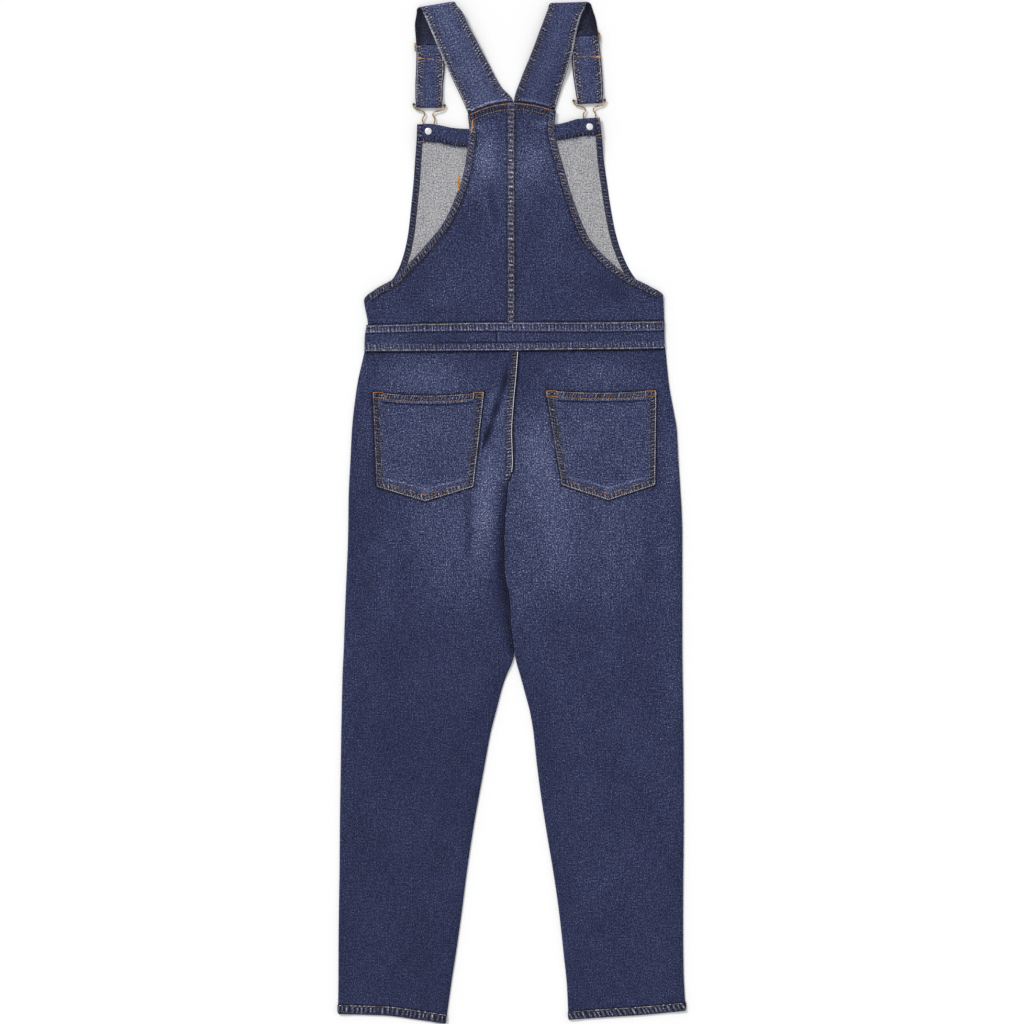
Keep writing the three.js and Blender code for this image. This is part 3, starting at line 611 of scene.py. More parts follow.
DENIM_STOPS = [
    (0.00, (12, 14, 26)),
    (0.20, (27, 29, 51)),
    (0.36, (42, 47, 78)),
    (0.55, (68, 75, 111)),
    (0.75, (112, 120, 151)),
    (0.90, (164, 169, 188)),
    (1.00, (208, 210, 214)),
]
SEAM_STOPS = [
    (0.00, (12, 13, 22)),
    (0.20, (32, 32, 46)),
    (0.36, (53, 54, 72)),
    (0.55, (86, 86, 104)),
    (0.75, (136, 137, 163)),
    (0.90, (178, 179, 202)),
    (1.00, (214, 214, 224)),
]
WRONG_SIDE_STOPS = [
    (0.00, (84, 86, 100)),
    (0.35, (136, 136, 143)),
    (0.60, (168, 168, 170)),
    (1.00, (206, 205, 203)),
]


def woven(name, stops, contrast, fade_contrast, fade_pull, crest_pull, level, seam_stops=None):
    """Twill cloth: warp slubs run along the weave's second coordinate, weft threads across it. The weave
    shows more where the dye is rubbed off, and seams are greyer than the cloth between them."""
    n = Nodes(name)
    weave = n.attribute("weave")
    across, along, _ = n.parts(weave)
    fade, crest, grey = n.parts(n.attribute("tint"))
    slubs = n.noise(weave, (430, 48, 37), 3.0, 0.6)
    wefts = n.noise(weave, (70, 430, 53), 2.0, 0.5)
    specks = n.noise(weave, (660, 500, 71), 1.0, 0.4)
    fine = n.noise(weave, (1000, 800, 91), 2.0, 0.6)
    clouds = n.noise(weave, (17, 11, 13), 2.0, 0.5)
    twill = n.math("SINE", n.weighted((across, 5400.0), (along, 5400.0)))
    grain = n.weighted((slubs, 0.5), (wefts, 0.3), (specks, 1.7), (fine, 0.8), (twill, 0.01))
    strength = n.math("MAXIMUM", n.weighted((fade, fade_contrast), (grey, 0.16), (contrast, 1.0)), 0.25)
    strength = n.math("MINIMUM", strength, max(contrast, 0.8))
    value = n.weighted(
        (grain, strength), (clouds, 0.12), (fade, fade_pull), (crest, crest_pull), (level, 1.0),
    )
    height = n.weighted((slubs, 0.8), (wefts, 0.5), (specks, 1.0), (fine, 1.6), (twill, 0.2))
    n.bump(height, 0.35 * MM, 0.5)
    colour = n.ramp(value, stops)
    if seam_stops:
        colour = n.mixed(grey, colour, n.ramp(value, seam_stops))
    return n.set(
        Base_Color=colour, Roughness=0.95, Specular_IOR_Level=0.12, Sheen_Weight=0.03, Sheen_Roughness=0.6,
    )


DENIM = woven("denim", DENIM_STOPS, 0.48, 0.56, 0.19, 0.42, 0.315, SEAM_STOPS)
STRAP_DENIM = woven("denim_worn", DENIM_STOPS, 0.4, 0.25, 0.19, 0.42, 0.315, SEAM_STOPS)
WRONG_SIDE = woven("denim_wrong_side", WRONG_SIDE_STOPS, 1.1, 0.0, 0.1, 0.3, 0.48)


def thread(name, colour, worn):
    """Sewing thread: a twisted ply with its colour worn in places."""
    n = Nodes(name)
    coordinates = n.tree.nodes.new("ShaderNodeTexCoord").outputs["Object"]
    rub = n.noise(coordinates, (160, 160, 160), 2.0)
    ply = n.noise(coordinates, (2600, 2600, 2600), 1.0)
    mixed = n.ramp(n.weighted((rub, 1.6), (ply, 0.7), (0.5, 1.0)), [(0.25, colour), (0.85, worn)])
    n.bump(ply, 0.1 * MM, 0.5)
    return n.set(Base_Color=mixed, Roughness=0.7, Sheen_Weight=0.1)


THREADS = {
    "orange": thread("thread_orange", (196, 120, 44), (228, 168, 92)),
    "ochre": thread("thread_ochre", (122, 96, 76), (178, 156, 130)),
    "pale": thread("thread_pale", (164, 156, 142), (226, 220, 206)),
    "white": thread("thread_white", (206, 208, 218), (236, 237, 242)),
    "grey": thread("thread_grey", (122, 118, 126), (158, 154, 162)),
    "dull": thread("thread_dull", (62, 58, 68), (100, 94, 98)),
}


def metal(name, colour, dark, roughness, metallic=1.0):
    n = Nodes(name)
    coordinates = n.tree.nodes.new("ShaderNodeTexCoord").outputs["Object"]
    patina = n.noise(coordinates, (420, 420, 420), 3.0, 0.6)
    scratches = n.noise(coordinates, (2600, 300, 900), 2.0, 0.5)
    base = n.ramp(n.weighted((patina, 1.5), (0.5, 1.0)), [(0.25, dark), (0.7, colour)])
    rough = n.weighted((patina, 0.25), (scratches, 0.2), (roughness, 1.0))
    n.bump(n.weighted((scratches, 1.0), (patina, 0.5)), 0.05 * MM, 0.35)
    return n.set(Base_Color=base, Metallic=metallic, Roughness=rough)


BRASS = metal("hook_brass", (206, 172, 118), (112, 84, 50), 0.33)
# The knobs' brass is painted darker, standing in for the dark surroundings they reflect.
KNOB_BRASS_DARK_REFLECTION = metal("knob_brass_dark_reflection", (104, 84, 60), (44, 34, 26), 0.3)
RIVET = metal("rivet_steel", (248, 248, 249), (226, 227, 230), 0.35, 0.55)


# Fading: pale places where the cloth is rubbed, with their half widths.

FADES = table("x y wide high strength", [
    [-112, -6, 46, 84, 0.46],
    [-30, -10, 20, 40, 0.12],
    [-150, -60, 20, 60, -0.15],
    [-30, 15, 16, 40, 0.3],
    [-12, 120, 10, 50, 0.25],
    [-80, 160, 50, 56, 0.3],
    [-20, 140, 22, 32, 0.3],
    [-31, -20, 20, 66, 0.3],
    [50, -80, 32, 90, 0.2],
    [168, -40, 56, 80, 0.08],
    [220, -210, 18, 190, 0.2],
    [-232, -250, 14, 200, 0.16],
    [10, 470, 84, 36, 0.28],
    [-60, -50, 50, 90, 0.3],
    [-40, 30, 26, 66, 0.3],
    [52, 20, 44, 100, 0.6],
    [150, 20, 40, 60, 0.1],
    [96, -16, 26, 50, -0.25],
    [-116, 292, 26, 14, 0.35],
    [-12, 158, 14, 20, 0.3],
    [120, -20, 70, 90, 0.45],
    [-28, 70, 24, 46, 0.5],
    [28, 85, 26, 60, 0.55],
    [-60, 130, 40, 40, 0.3],
    [60, 120, 46, 46, 0.25],
    [-128, 190, 52, 28, 0.6],
    [-170, 150, 70, 80, 0.25],
    [118, 192, 58, 26, 0.42],
    [150, 160, 80, 80, 0.25],
    [222, 90, 24, 60, 0.35],
    [-35, 490, 20, 34, 0.85],
    [28, 486, 26, 34, 0.55],
    [-50, 455, 30, 30, 0.2],
    [-52, 531, 16, 5, 0.9],
    [44, 536, 12, 5, 0.8],
    [90, -100, 260, 150, 0.1],
    [-90, -100, 220, 150, 0.08],
    [130, -420, 110, 260, 0.12],
])
LEG_FADE = 0.15
BIB_FADE = 0.35
BIB_SEED = 11.0


def worn(base):
    def fade(x, y):
        total = np.full(np.shape(x), base, float)
        for spot in FADES:
            total += spot["strength"] * np.exp(
                -(((x - spot["x"]) / spot["wide"]) ** 2) - (((y - spot["y"]) / spot["high"]) ** 2))
        return total
    return fade


# Creases: ridges and troughs from one end to the other, with their half width and height.

LEFT_CREASES = table("x1 y1 x2 y2 width rise", [
    [-58, 34, -58, -62, 7, -0.9],
    [-47, 38, -48, -75, 10, 1.0],
    [-3, 200, -24, 134, 4.6, -1.5],
    [-20, 150, -38, 92, 4.4, -1.4],
    [-30, 118, -56, 62, 4.8, -1.3],
    [-26, 170, -50, 95, 12, 0.8],
    [-12, 30, -10, -150, 16, -0.7],
    [-168, -10, -172, -150, 22, 0.7],
    [-150, -60, -158, -190, 16, -0.2],
    [-196, 150, -214, 20, 14, 0.6],
    [-75, -240, -120, -330, 22, 0.6],
    [-60, -300, -95, -420, 16, -0.5],
    [-205, -260, -196, -420, 20, 0.6],
    [-110, -430, -90, -560, 20, 0.5],
    [-170, -520, -180, -640, 22, 0.5],
    [-130, -600, -118, -690, 16, -0.4],
])
RIGHT_CREASES = table("x1 y1 x2 y2 width rise", [
    [8, 30, 10, -150, 12, 0.8],
    [38, -20, 62, -190, 16, -0.15],
    [196, -30, 192, -90, 14, -0.25],
    [212, 60, 216, -80, 14, 0.6],
    [60, -230, 96, -340, 22, 0.6],
    [42, -250, 60, -380, 14, -0.4],
    [205, -270, 196, -450, 20, 0.6],
    [150, -440, 160, -600, 24, 0.5],
    [196, -600, 206, -680, 16, 0.6],
    [100, -560, 92, -680, 20, -0.4],
])
BIB_CREASES = table("x1 y1 x2 y2 width rise", [
    [-42, 440, -32, 400, 6, 0.5],
    [-30, 455, -24, 405, 5, -0.4],
    [-110, 330, -60, 300, 20, 0.5],
    [70, 420, 60, 330, 18, 0.5],
    [120, 330, 150, 290, 16, -0.4],
    [-150, 300, -100, 275, 14, -0.4],
])


def creases(rows, x, y):
    total = np.zeros(np.shape(x))
    for row in rows:
        run_x, run_y = row["x2"] - row["x1"], row["y2"] - row["y1"]
        length = math.hypot(run_x, run_y)
        t = ((x - row["x1"]) * run_x + (y - row["y1"]) * run_y) / length ** 2
        nearest = np.clip(t, 0, 1)
        away = np.hypot(x - row["x1"] - run_x * nearest, y - row["y1"] - run_y * nearest)
        ends = ease((t + 0.25) / 0.5) * ease((1.25 - t) / 0.5)
        total += row["rise"] * ends * np.exp(-((away / row["width"]) ** 2))
    return total


def crease_shade_and_wear(lift):
    """Troughs are painted darker as shade, and ridges are rubbed a little paler."""
    return np.where(lift < 0, 0.75, 0.22) * lift / MM


# Stitches: short rounded lengths of thread, gathered for each thread and joined into one mesh.

RINGS = 4
SIDES = 5
stitches = {key: {"points": [], "faces": []} for key in THREADS}


def stitch(key, start, end, lift=0.34 * MM, radius=THREAD):
    """One length of thread between two points on the cloth, arched out of it."""
    batch = stitches[key]
    start, end = np.asarray(start, float), np.asarray(end, float)
    run = end - start
    ahead = run / max(np.linalg.norm(run), 1e-9)
    side = np.cross(ahead, (0, 0, 1))
    side /= max(np.linalg.norm(side), 1e-9)
    out = np.cross(side, ahead)
    first = len(batch["points"])
    for ring in range(RINGS):
        t = ring / (RINGS - 1)
        swell = 0.45 + 0.55 * math.sin(math.pi * (0.12 + 0.76 * t))
        centre = start + run * t + out * (lift * (1 - (2 * t - 1) ** 2) - 0.12 * MM)
        for k in range(SIDES):
            turn = 2 * math.pi * k / SIDES
            batch["points"].append(centre + radius * swell * (side * math.cos(turn) + out * math.sin(turn)))
    for ring in range(RINGS - 1):
        for k in range(SIDES):
            a, b = first + ring * SIDES + k, first + ring * SIDES + (k + 1) % SIDES
            batch["faces"].append([a, b, b + SIDES, a + SIDES])
    batch["faces"].append([first + k for k in range(SIDES)][::-1])
    batch["faces"].append([first + (RINGS - 1) * SIDES + k for k in range(SIDES)])


def row(keys, line, ground, pitch=STITCH, gap=STITCH_GAP, above=True, lift=0.3 * MM, radius=THREAD):
    """A row of stitches along a line of points on the cloth. The thread changes between its keys in uneven
    runs, as it is worn more in one place than in another."""
    keys = keys.split()
    line = np.asarray(line, float)
    length = np.concatenate([[0], np.cumsum(np.linalg.norm(np.diff(line, axis=0), axis=1))])
    count = max(1, int(round(length[-1] / pitch)))
    at = np.linspace(0, length[-1], count + 1)
    ends = np.stack([at[:-1] + gap / 2, at[1:] - gap / 2], -1)
    x, y = (np.interp(ends, length, line[:, k]) for k in (0, 1))
    z = ground.at(x, y, above)
    turn = 0.5 + 0.5 * waves(at[:-1] + line[0, 0], 23 * MM, line[0, 1] * 90)
    for j in range(count):
        start, end = ((x[j, k], y[j, k], z[j, k]) for k in (0, 1))
        key = keys[int(min(turn[j], 0.999) * len(keys))]
        stitch(key, start, end, lift if above else -lift, radius)


def bartack(key, start, end, ground, width=1.8 * MM, passes=9):
    """A short bar of close stitches laid across its own length."""
    start, end = np.asarray(start, float), np.asarray(end, float)
    ahead = end - start
    length = np.linalg.norm(ahead)
    ahead = ahead / length
    side = np.array([ahead[1], -ahead[0]]) * width / 2
    count = max(passes, int(length / (0.8 * MM)))
    for j in range(count):
        centre = start + ahead * length * (j + 0.5) / count
        lean = ahead * 0.5 * MM
        ends = np.stack([centre - side - lean, centre + side + lean])
        z = ground.at(ends[:, 0], ends[:, 1])
        stitch(key, (*ends[0], z[0]), (*ends[1], z[1]), 0.35 * MM)


def finish_stitches():
    made = []
    for key, batch in stitches.items():
        if batch["points"]:
            points = np.array(batch["points"])
            made.append(add_piece(f"stitches_{key}", points, batch["faces"], None, None, [THREADS[key]]))
    return made


# Legs.

leg_fade = worn(LEG_FADE)
bib_fade = worn(BIB_FADE)
LEG_CREASES = {"left": LEFT_CREASES, "right": RIGHT_CREASES}
LEG_RISE_END = 14 * MM
LAP = 3.2 * MM
LEG_SEED = 1.0
legs = {}


def leg_lift(side, panel):
    """The creases of one leg, which die out at its ends and at its sides."""
    calm = ease(panel.to_top / LEG_RISE_END) * ease(panel.to_bottom / LEG_RISE_END)
    sides = ease(np.minimum(panel.to_left, panel.to_right) / (9 * MM))
    return creases(LEG_CREASES[side], panel.x, panel.y) * calm * sides


def seat_lap(y):
    """How far the right leg laps over the left one, as a share, from the seat seam's end to the crotch."""
    return ease((SEAT_SEAM_END_Y + 6 * MM - y) / (14 * MM)) * ease((y - CROTCH_Y + 4 * MM) / (50 * MM))


def back_leg(side):
    node = f"back_leg_{side}"
    outline = Outline(node)
    inner = "right" if side == "left" else "left"
    grow = {}
    if side == "right":
        grow["left"] = lambda y: outline.left(y) - LAP * seat_lap(y)
    panel = Panel(outline, stations(EDGE_SOFT, 54, EDGE_SOFT), stations(EDGE_SOFT, 226, EDGE_SOFT), grow)
    parting = ease((CROTCH_Y + 6 * MM - panel.y) / (12 * MM))
    low = panel.resting(node)
    low = low + leg_lift(side, panel)
    outer = "left" if side == "left" else "right"
    roll = {"left": panel.to_left, "right": panel.to_right}
    swell = lambda d: 0.9 * MM * ease(d / (3 * MM)) * ease((26 * MM - d) / (20 * MM))
    low = low + swell(roll[outer]) + swell(roll[inner]) * parting
    folds = [(outer, LEG_SEAM_HEIGHT, 1.0), (inner, LEG_SEAM_HEIGHT, parting)]
    if side == "right":
        tucked = ease((SEAT_SEAM_END_Y + 6 * MM - panel.y) / (14 * MM)) * (1 - parting)
        low = low + tucked * 0.5 * MM * ease((12 * MM - panel.to_left) / (8 * MM))
        folds.append(("left", 2.85 * MM, tucked))
    # Darker towards the side folds: painted shade where the cloth rounds down to the floor.
    fade = leg_fade(panel.x, panel.y) - 0.1 * np.exp(-roll[outer] / (10 * MM))
    fade = fade + crease_shade_and_wear(leg_lift(side, panel)) * (0.25 + 0.75 * ease((panel.y + 0.25) / 0.06))
    fade = fade - 0.1 * np.exp(-roll[inner] / (10 * MM)) * parting
    crest = 0.35 * np.exp(-roll[outer] / (0.6 * MM)) + 0.35 * np.exp(-roll[inner] / (0.6 * MM)) * parting
    # Painted shade on the left leg beside the fold of the right leg, which laps over it.
    if side == "left":
        from_fold = np.maximum(panel.to_right - LAP * seat_lap(panel.y), 0)
        shaded = ease((SEAT_SEAM_END_Y + 12 * MM - panel.y) / (30 * MM)) * (1 - parting)
        crest = crest - shaded * (0.36 * groove(from_fold, 10 * MM) + 0.3 * groove(from_fold, 3.5 * MM))
    piece = panel.build(
        node, low, CLOTH, fade, crest, [DENIM, WRONG_SIDE], folds=folds, free=["bottom"], seed=LEG_SEED,
    )
    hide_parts(node)
    legs[side] = {"piece": piece, "outline": outline, "ground": Ground.of_pieces(piece), "left": panel.left}
    return piece


def front_leg(side):
    node = f"front_leg_{side}"
    outline = Outline(node)
    panel = Panel(outline, stations(EDGE_ROUND, 36, EDGE_ROUND), stations(EDGE_ROUND, 130, EDGE_ROUND))
    inner = "right" if side == "left" else "left"
    outer = "left" if side == "left" else "right"
    parting = ease((CROTCH_Y + 6 * MM - panel.y) / (12 * MM))
    lift = 0.6 * np.clip(leg_lift(side, panel), 0, None)
    fade = leg_fade(panel.x, panel.y)
    piece = panel.build(
        node, lift, CLOTH, fade, 0.0, [WRONG_SIDE, DENIM],
        folds=[(outer, LEG_SEAM_HEIGHT - 0.05 * MM, 1.0), (inner, LEG_SEAM_HEIGHT - 0.05 * MM, parting)],
        free=["bottom", "top"], seed=3.0, turned=8,
    )
    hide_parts(node)
    return piece


def leg_hem(side):
    """The turned hem round a leg's end: a roped band with one row of stitches at its top."""
    outline = legs[side]["outline"]
    x0 = outline.left(outline.runs["bottom"][0, 1]) - HEM_FLARE
    x1 = outline.right(outline.runs["bottom"][-1, 1]) + HEM_FLARE
    track = end_track(outline, "bottom", x0, x1)
    slant, reach = (0.05, -1.4) if side == "left" else (-0.45, -0.3)
    rope = Rope(
        0, LEG_HEM, [LEG_HEM - 1.0 * MM], puff=0.75, depth=0.5, pitch=6.2, slant=slant, seed=1.7, wear=0.85,
        edge_shades=(0, 0.5), tone=-0.05, grey=0.85,
    )
    offsets = np.concatenate([[reach, reach / 2, 0.4], np.linspace(1.0, 15, 18)]) * MM
    piece = ribbon(
        f"back_leg_{side}_hem", track, offsets, rope, legs[side]["ground"], DENIM, leg_fade, wrap=1.7 * MM,
        seed=LEG_SEED, inset=1.6 * MM, ends=HEM_FLARE,
    )
    ground = Ground.of_pieces(piece)
    row("grey pale dull grey white dull", track.off(LEG_HEM - 1.0 * MM)[2:-2], ground, gap=0.3 * MM)
    return piece


def seat_seam():
    """The felled seat seam, lapped to the left of the joint, down to where the right leg folds over it."""
    outline = legs["left"]["outline"]
    y = np.linspace(SEAT_SEAM_END_Y - 12 * MM, outline.top(0) - 0.2 * MM, 300)
    track = Track(np.stack([outline.right(y) + 0.8 * MM, y], -1)[::-1])
    ground = Ground.of_pieces(legs["left"]["piece"], legs["right"]["piece"])
    rows = [1.3 * MM, 5.2 * MM]
    rope = Rope(
        0, SEAT_SEAM, rows, puff=0.6, depth=0.2, pitch=4.2, slant=-0.2, seed=0.6, wear=1.0,
        edge_shades=(1.3, 0.2), tone=-0.14, grey=0.9,
    )
    end = track.s[-1]
    under = lambda along: (SEAT_SEAM + 6 * MM) * (1 - (end - along) / (24 * MM)) - 2 * MM
    offsets = felled_offsets(SEAT_SEAM)
    piece = ribbon("seat_seam", track, offsets, rope, ground, DENIM, leg_fade, seed=LEG_SEED, under=under)
    on_seam = Ground.of_pieces(piece)
    row("white", track.off(rows[0])[2:-20], on_seam, gap=0.15 * MM, radius=0.58 * MM)
    row("dull", track.off(rows[1])[2:-16], on_seam)
    return piece


def seat_fold_shade():
    """Painted shade on the left leg beside the fold of the right one, from the seat seam's end to the crotch."""
    y = np.linspace(SEAT_SEAM_END_Y + 4 * MM, CROTCH_Y + 4 * MM, 300)
    track = Track(np.stack([legs["right"]["left"](y), y], -1))
    hollow = PaintedShade(1.1, 1.5 * MM)
    piece = painted_shade_line("seat_fold_shade", track, hollow, legs["left"]["ground"], 0.0, LEG_SEED, 2.4 * MM)


# Waistband: roped along both seams, with a pressed line where each seam allowance ends.

def waist_relief(panel, seed):
    bottom, top = panel.to_bottom - WAIST_GROW, panel.to_top - WAIST_GROW
    ropes_low = Rope(0, 9.5 * MM, [1.0 * MM], 0.6, 0.34, 4.3, 0.15, seed, 0.6, tone=0.08, grey=0.35)
    ropes_high = Rope(
        0, 11 * MM, [0.9 * MM, 3.2 * MM], 0.6, 0.34, 4.5, -0.1, seed + 1.3, 0.7, tone=0.08, grey=0.4,
    )
    low, low_crest, low_grey = ropes_low.relief(bottom, panel.x)
    high, high_crest, high_grey = ropes_high.relief(top, panel.x)
    drop = 10.8 * MM + 1.2 * MM * np.sin(panel.x * 9)
    to_middle = ease((0.12 - np.abs(panel.x + 0.02)) / 0.06)
    pressed = groove(top - drop - 1.0 * MM, 0.9 * MM) + to_middle * groove(bottom - 10.2 * MM, 0.8 * MM)
    between = ease((bottom - 9 * MM) / (2 * MM)) * ease((top - 11 * MM) / (2 * MM))
    joint = between * groove(panel.x - WAIST_JOINT_X, 0.9 * MM)
    beside = between * groove(panel.x - WAIST_JOINT_X - 2.4 * MM, 1.2 * MM)
    # The pressed lines and the joint are darkened as painted shade, and the crest is paler beside them.
    crest = low_crest + high_crest - 0.75 * pressed - 0.7 * joint + 0.35 * beside
    crest = crest + 0.45 * groove(top - drop + 1.2 * MM, 1.1 * MM)
    return low + high - 0.35 * MM * (pressed + joint), crest, low_grey + high_grey


WAIST_GROW = 1.5 * MM
WAIST_JOINT_X = -21.4 * MM


def waistband(bibs, bib_edges):
    node = "waistband_back"
    outline = Outline(node)
    grow = {
        "bottom": lambda x: outline.bottom(x) - WAIST_GROW,
        "top": lambda x: outline.top(x) + WAIST_GROW,
    }
    near_edge = [0, 0.2 * MM, 0.5 * MM, 1.0 * MM, 1.5 * MM]
    dense = stations(near_edge, 30, near_edge)
    panel = Panel(outline, stations(EDGE_ROUND, 330, EDGE_ROUND), dense, grow)
    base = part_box(node)[0].z
    relief, crest, grey = waist_relief(panel, 0.4)
    over_legs = ease((3.2 * MM - panel.to_bottom) / (1.6 * MM))
    over_bib = ease((3.2 * MM - panel.to_top) / (1.6 * MM))
    low = base + 0.75 * MM * over_legs + 1.45 * MM * over_bib
    high = base + 2.3 * MM + relief * 1.0 + 0.5 * MM * over_bib
    piece = panel.build(
        node, low, high - low, 0.4 + 0.06 * np.cos(panel.x * 31), crest, [DENIM],
        folds=[("left", WAIST_SEAM_HEIGHT, 1.0), ("right", WAIST_SEAM_HEIGHT, 1.0)], free=["bottom", "top"],
        seed=6.0, grey=grey,
    )
    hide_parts(node)
    leg_edges = legs["left"]["outline"], legs["right"]["outline"]
    below = np.linspace(leg_edges[0].left(0.221) + 1.2 * MM, leg_edges[1].right(0.221) - 1.2 * MM, 300)
    above = np.linspace(bib_edges[1].right(0.262) - 1.2 * MM, bib_edges[0].left(0.262) + 1.2 * MM, 300)
    low_line = Track(np.stack([below, outline.bottom(below) - WAIST_GROW], -1))
    high_line = Track(np.stack([above, outline.top(above) + WAIST_GROW], -1))
    on_legs = Ground.of_pieces(*(leg["piece"] for leg in legs.values()))
    on_bib = Ground.of_pieces(*bibs)
    # Strips of painted shade on the legs below the waistband and on the bib above it.
    dark = [
        painted_shade_line("waist_shade_low", low_line, PaintedShade(1.2, 2.0 * MM), on_legs, leg_fade, LEG_SEED),
        painted_shade_line("waist_shade_high", high_line, PaintedShade(0.9, 1.6 * MM), on_bib, bib_fade, BIB_SEED),
    ]
    ground = Ground.of_pieces(piece)
    x = np.linspace(outline.left(0.24) + 1.5 * MM, outline.right(0.24) - 1.5 * MM, 300)
    row("grey pale white pale ochre", np.stack([x, outline.bottom(x) + 0.5 * MM], -1), ground, gap=0.3 * MM)
    row("ochre pale grey pale", np.stack([x, outline.top(x) - 0.4 * MM], -1), ground, gap=0.3 * MM)
    return piece


def waistband_front():
    node = "waistband_front"
    outline = Outline(node)
    grow = {"bottom": lambda x: outline.bottom(x) - 0.12 * MM, "top": lambda x: outline.top(x) + 0.12 * MM}
    panel = Panel(outline, stations(EDGE_ROUND, 90, EDGE_ROUND), stations(EDGE_ROUND, 12, EDGE_ROUND), grow)
    piece = panel.build(
        node, 0 * panel.x, 2.0 * MM, 0.14, 0.0, [DENIM],
        folds=[("left", WAIST_SEAM_HEIGHT - 0.05 * MM, 1.0), ("right", WAIST_SEAM_HEIGHT - 0.05 * MM, 1.0)],
        free=["bottom", "top"], seed=6.5,
    )
    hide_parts(node)
    return piece


# Front bib, with its grey wrong side up.

FRONT_BIB_SEED = 7.0

def front_bib():
    node = "front_bib"
    outline = Outline(node)
    panel = Panel(outline, stations(EDGE_SOFT, 100, EDGE_SOFT), stations(EDGE_ROUND, 80, EDGE_SOFT))
    low = panel.resting(node, 6)
    seam = ease((HIP_Y - panel.y) / (8 * MM))
    height = BIB_SEAM_HEIGHT - 0.05 * MM
    piece = panel.build(
        node, low, CLOTH, 0.5, 0.0, [WRONG_SIDE, DENIM],
        folds=[("left", height, seam), ("right", height, seam)],
        free=["left", "right", "top", "bottom"], seed=FRONT_BIB_SEED,
    )
    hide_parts(node)
    return piece, outline


def bib_facing(bib):
    node = "bib_facing"
    outline = Outline(node)
    grow = {
        "left": lambda y: outline.left(y) - 0.45 * MM,
        "right": lambda y: outline.right(y) + 0.45 * MM,
        "top": lambda x: outline.top(x) + 0.45 * MM,
    }
    panel = Panel(outline, stations(EDGE_ROUND, 200, EDGE_ROUND), stations(EDGE_ROUND, 16, EDGE_ROUND), grow)
    ground = Ground.of_pieces(bib)
    inner_x = np.clip(panel.x, panel.left(panel.y) + 1.7 * MM, panel.right(panel.y) - 1.7 * MM)
    inner_y = np.minimum(panel.y, panel.top(panel.x) - 1.7 * MM)
    low = ground.at(inner_x, inner_y) + CLEAR
    rope = Rope(0, 6 * MM, [1.4 * MM], 0.15, 0.22, 4.6, 0.2, 2.2, 0.7, tone=-0.25)
    rise, crest, grey = rope.relief(panel.to_bottom, panel.x)
    edge_rope = Rope(
        0, 8 * MM, [7 * MM], puff=0.3, depth=0.2, pitch=5.0, slant=0.2, seed=3.3, wear=0.6, tone=-0.1,
    )
    for distance in (panel.to_left, panel.to_right):
        edge_rise, edge_crest, edge_grey = edge_rope.relief(distance, panel.y)
        rise, crest, grey = rise + edge_rise, crest + edge_crest, np.maximum(grey, edge_grey)
    bottom_edge = 0.35 * np.exp(-panel.to_bottom / (0.7 * MM))
    wrap = np.minimum(np.minimum(panel.to_left, panel.to_right), panel.to_top)
    down = 1 - np.sqrt(1 - np.clip(1 - wrap / (1.0 * MM), 0, 1) ** 2)
    piece = panel.build(
        node, low - 1.5 * MM * down, 1.0 * MM + rise, 0.42, crest + bottom_edge, [DENIM],
        free=["bottom"], seed=8.0, grey=0.7 * grey,
    )
    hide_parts(node)
    # A ragged strip of painted shadow on the grey cloth below the facing's lower edge.
    x = np.linspace(outline.left(0.51) + 6 * MM, outline.right(0.51) - 6 * MM, 400)
    ragged = 0.7 * MM * waves(x, 7 * MM, 1.1) + 0.4 * MM * waves(x, 2.9 * MM, 2.6)
    under = Track(np.stack([x, outline.bottom(x) + ragged], -1))
    shade = painted_shade_line(
        "facing_shadow", under, PaintedShade(2.0, 2.4 * MM), ground, 0.5, FRONT_BIB_SEED, material=WRONG_SIDE)
    return piece


def bib_hems(bib, outline):
    """Turned hems down the sides of the front bib, from the facing to the side seams."""
    ground = Ground.of_pieces(bib)
    for side in ("left", "right"):
        node = f"bib_hem_{side}"
        low, high = (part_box(node)[0].y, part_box(node)[1].y)
        track = side_track(outline, side, low - 4 * MM, high + 1.0 * MM)
        rope = Rope(
            0, BIB_SIDE_HEM, [BIB_SIDE_HEM - 1.6 * MM], puff=0.5, depth=0.36, pitch=4.3, slant=0.3, seed=1.1,
            wear=0.8, tone=-0.06, grey=0.6,
        )
        offsets = np.concatenate([[-0.4, -0.1, 0.4], np.linspace(1.0, BIB_SIDE_HEM / MM, 9)]) * MM
        piece = ribbon(
            f"front_bib_hem_{side}", track, offsets, rope, ground, DENIM, 0.15, wrap=1.3 * MM, seed=9.0,
            inset=1.6 * MM,
        )
        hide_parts(node)
        row("dull", track.off(BIB_SIDE_HEM - 1.6 * MM)[2:-2], Ground.of_pieces(piece))


def bib_pocket():
    node = "bib_pocket"
    outline = Outline(node, smooth=False)
    panel = Panel(outline, stations(EDGE_ROUND, 50, EDGE_ROUND), stations(EDGE_ROUND, 50, EDGE_ROUND))
    piece = panel.build(
        node, 0 * panel.x, CLOTH, 0.3, 0.0, [DENIM], free=["left", "right", "bottom", "top"], seed=10.0,
    )
    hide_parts(node)
    return piece


# Back bib.

CENTRE_SEAM_X = 5.0 * MM


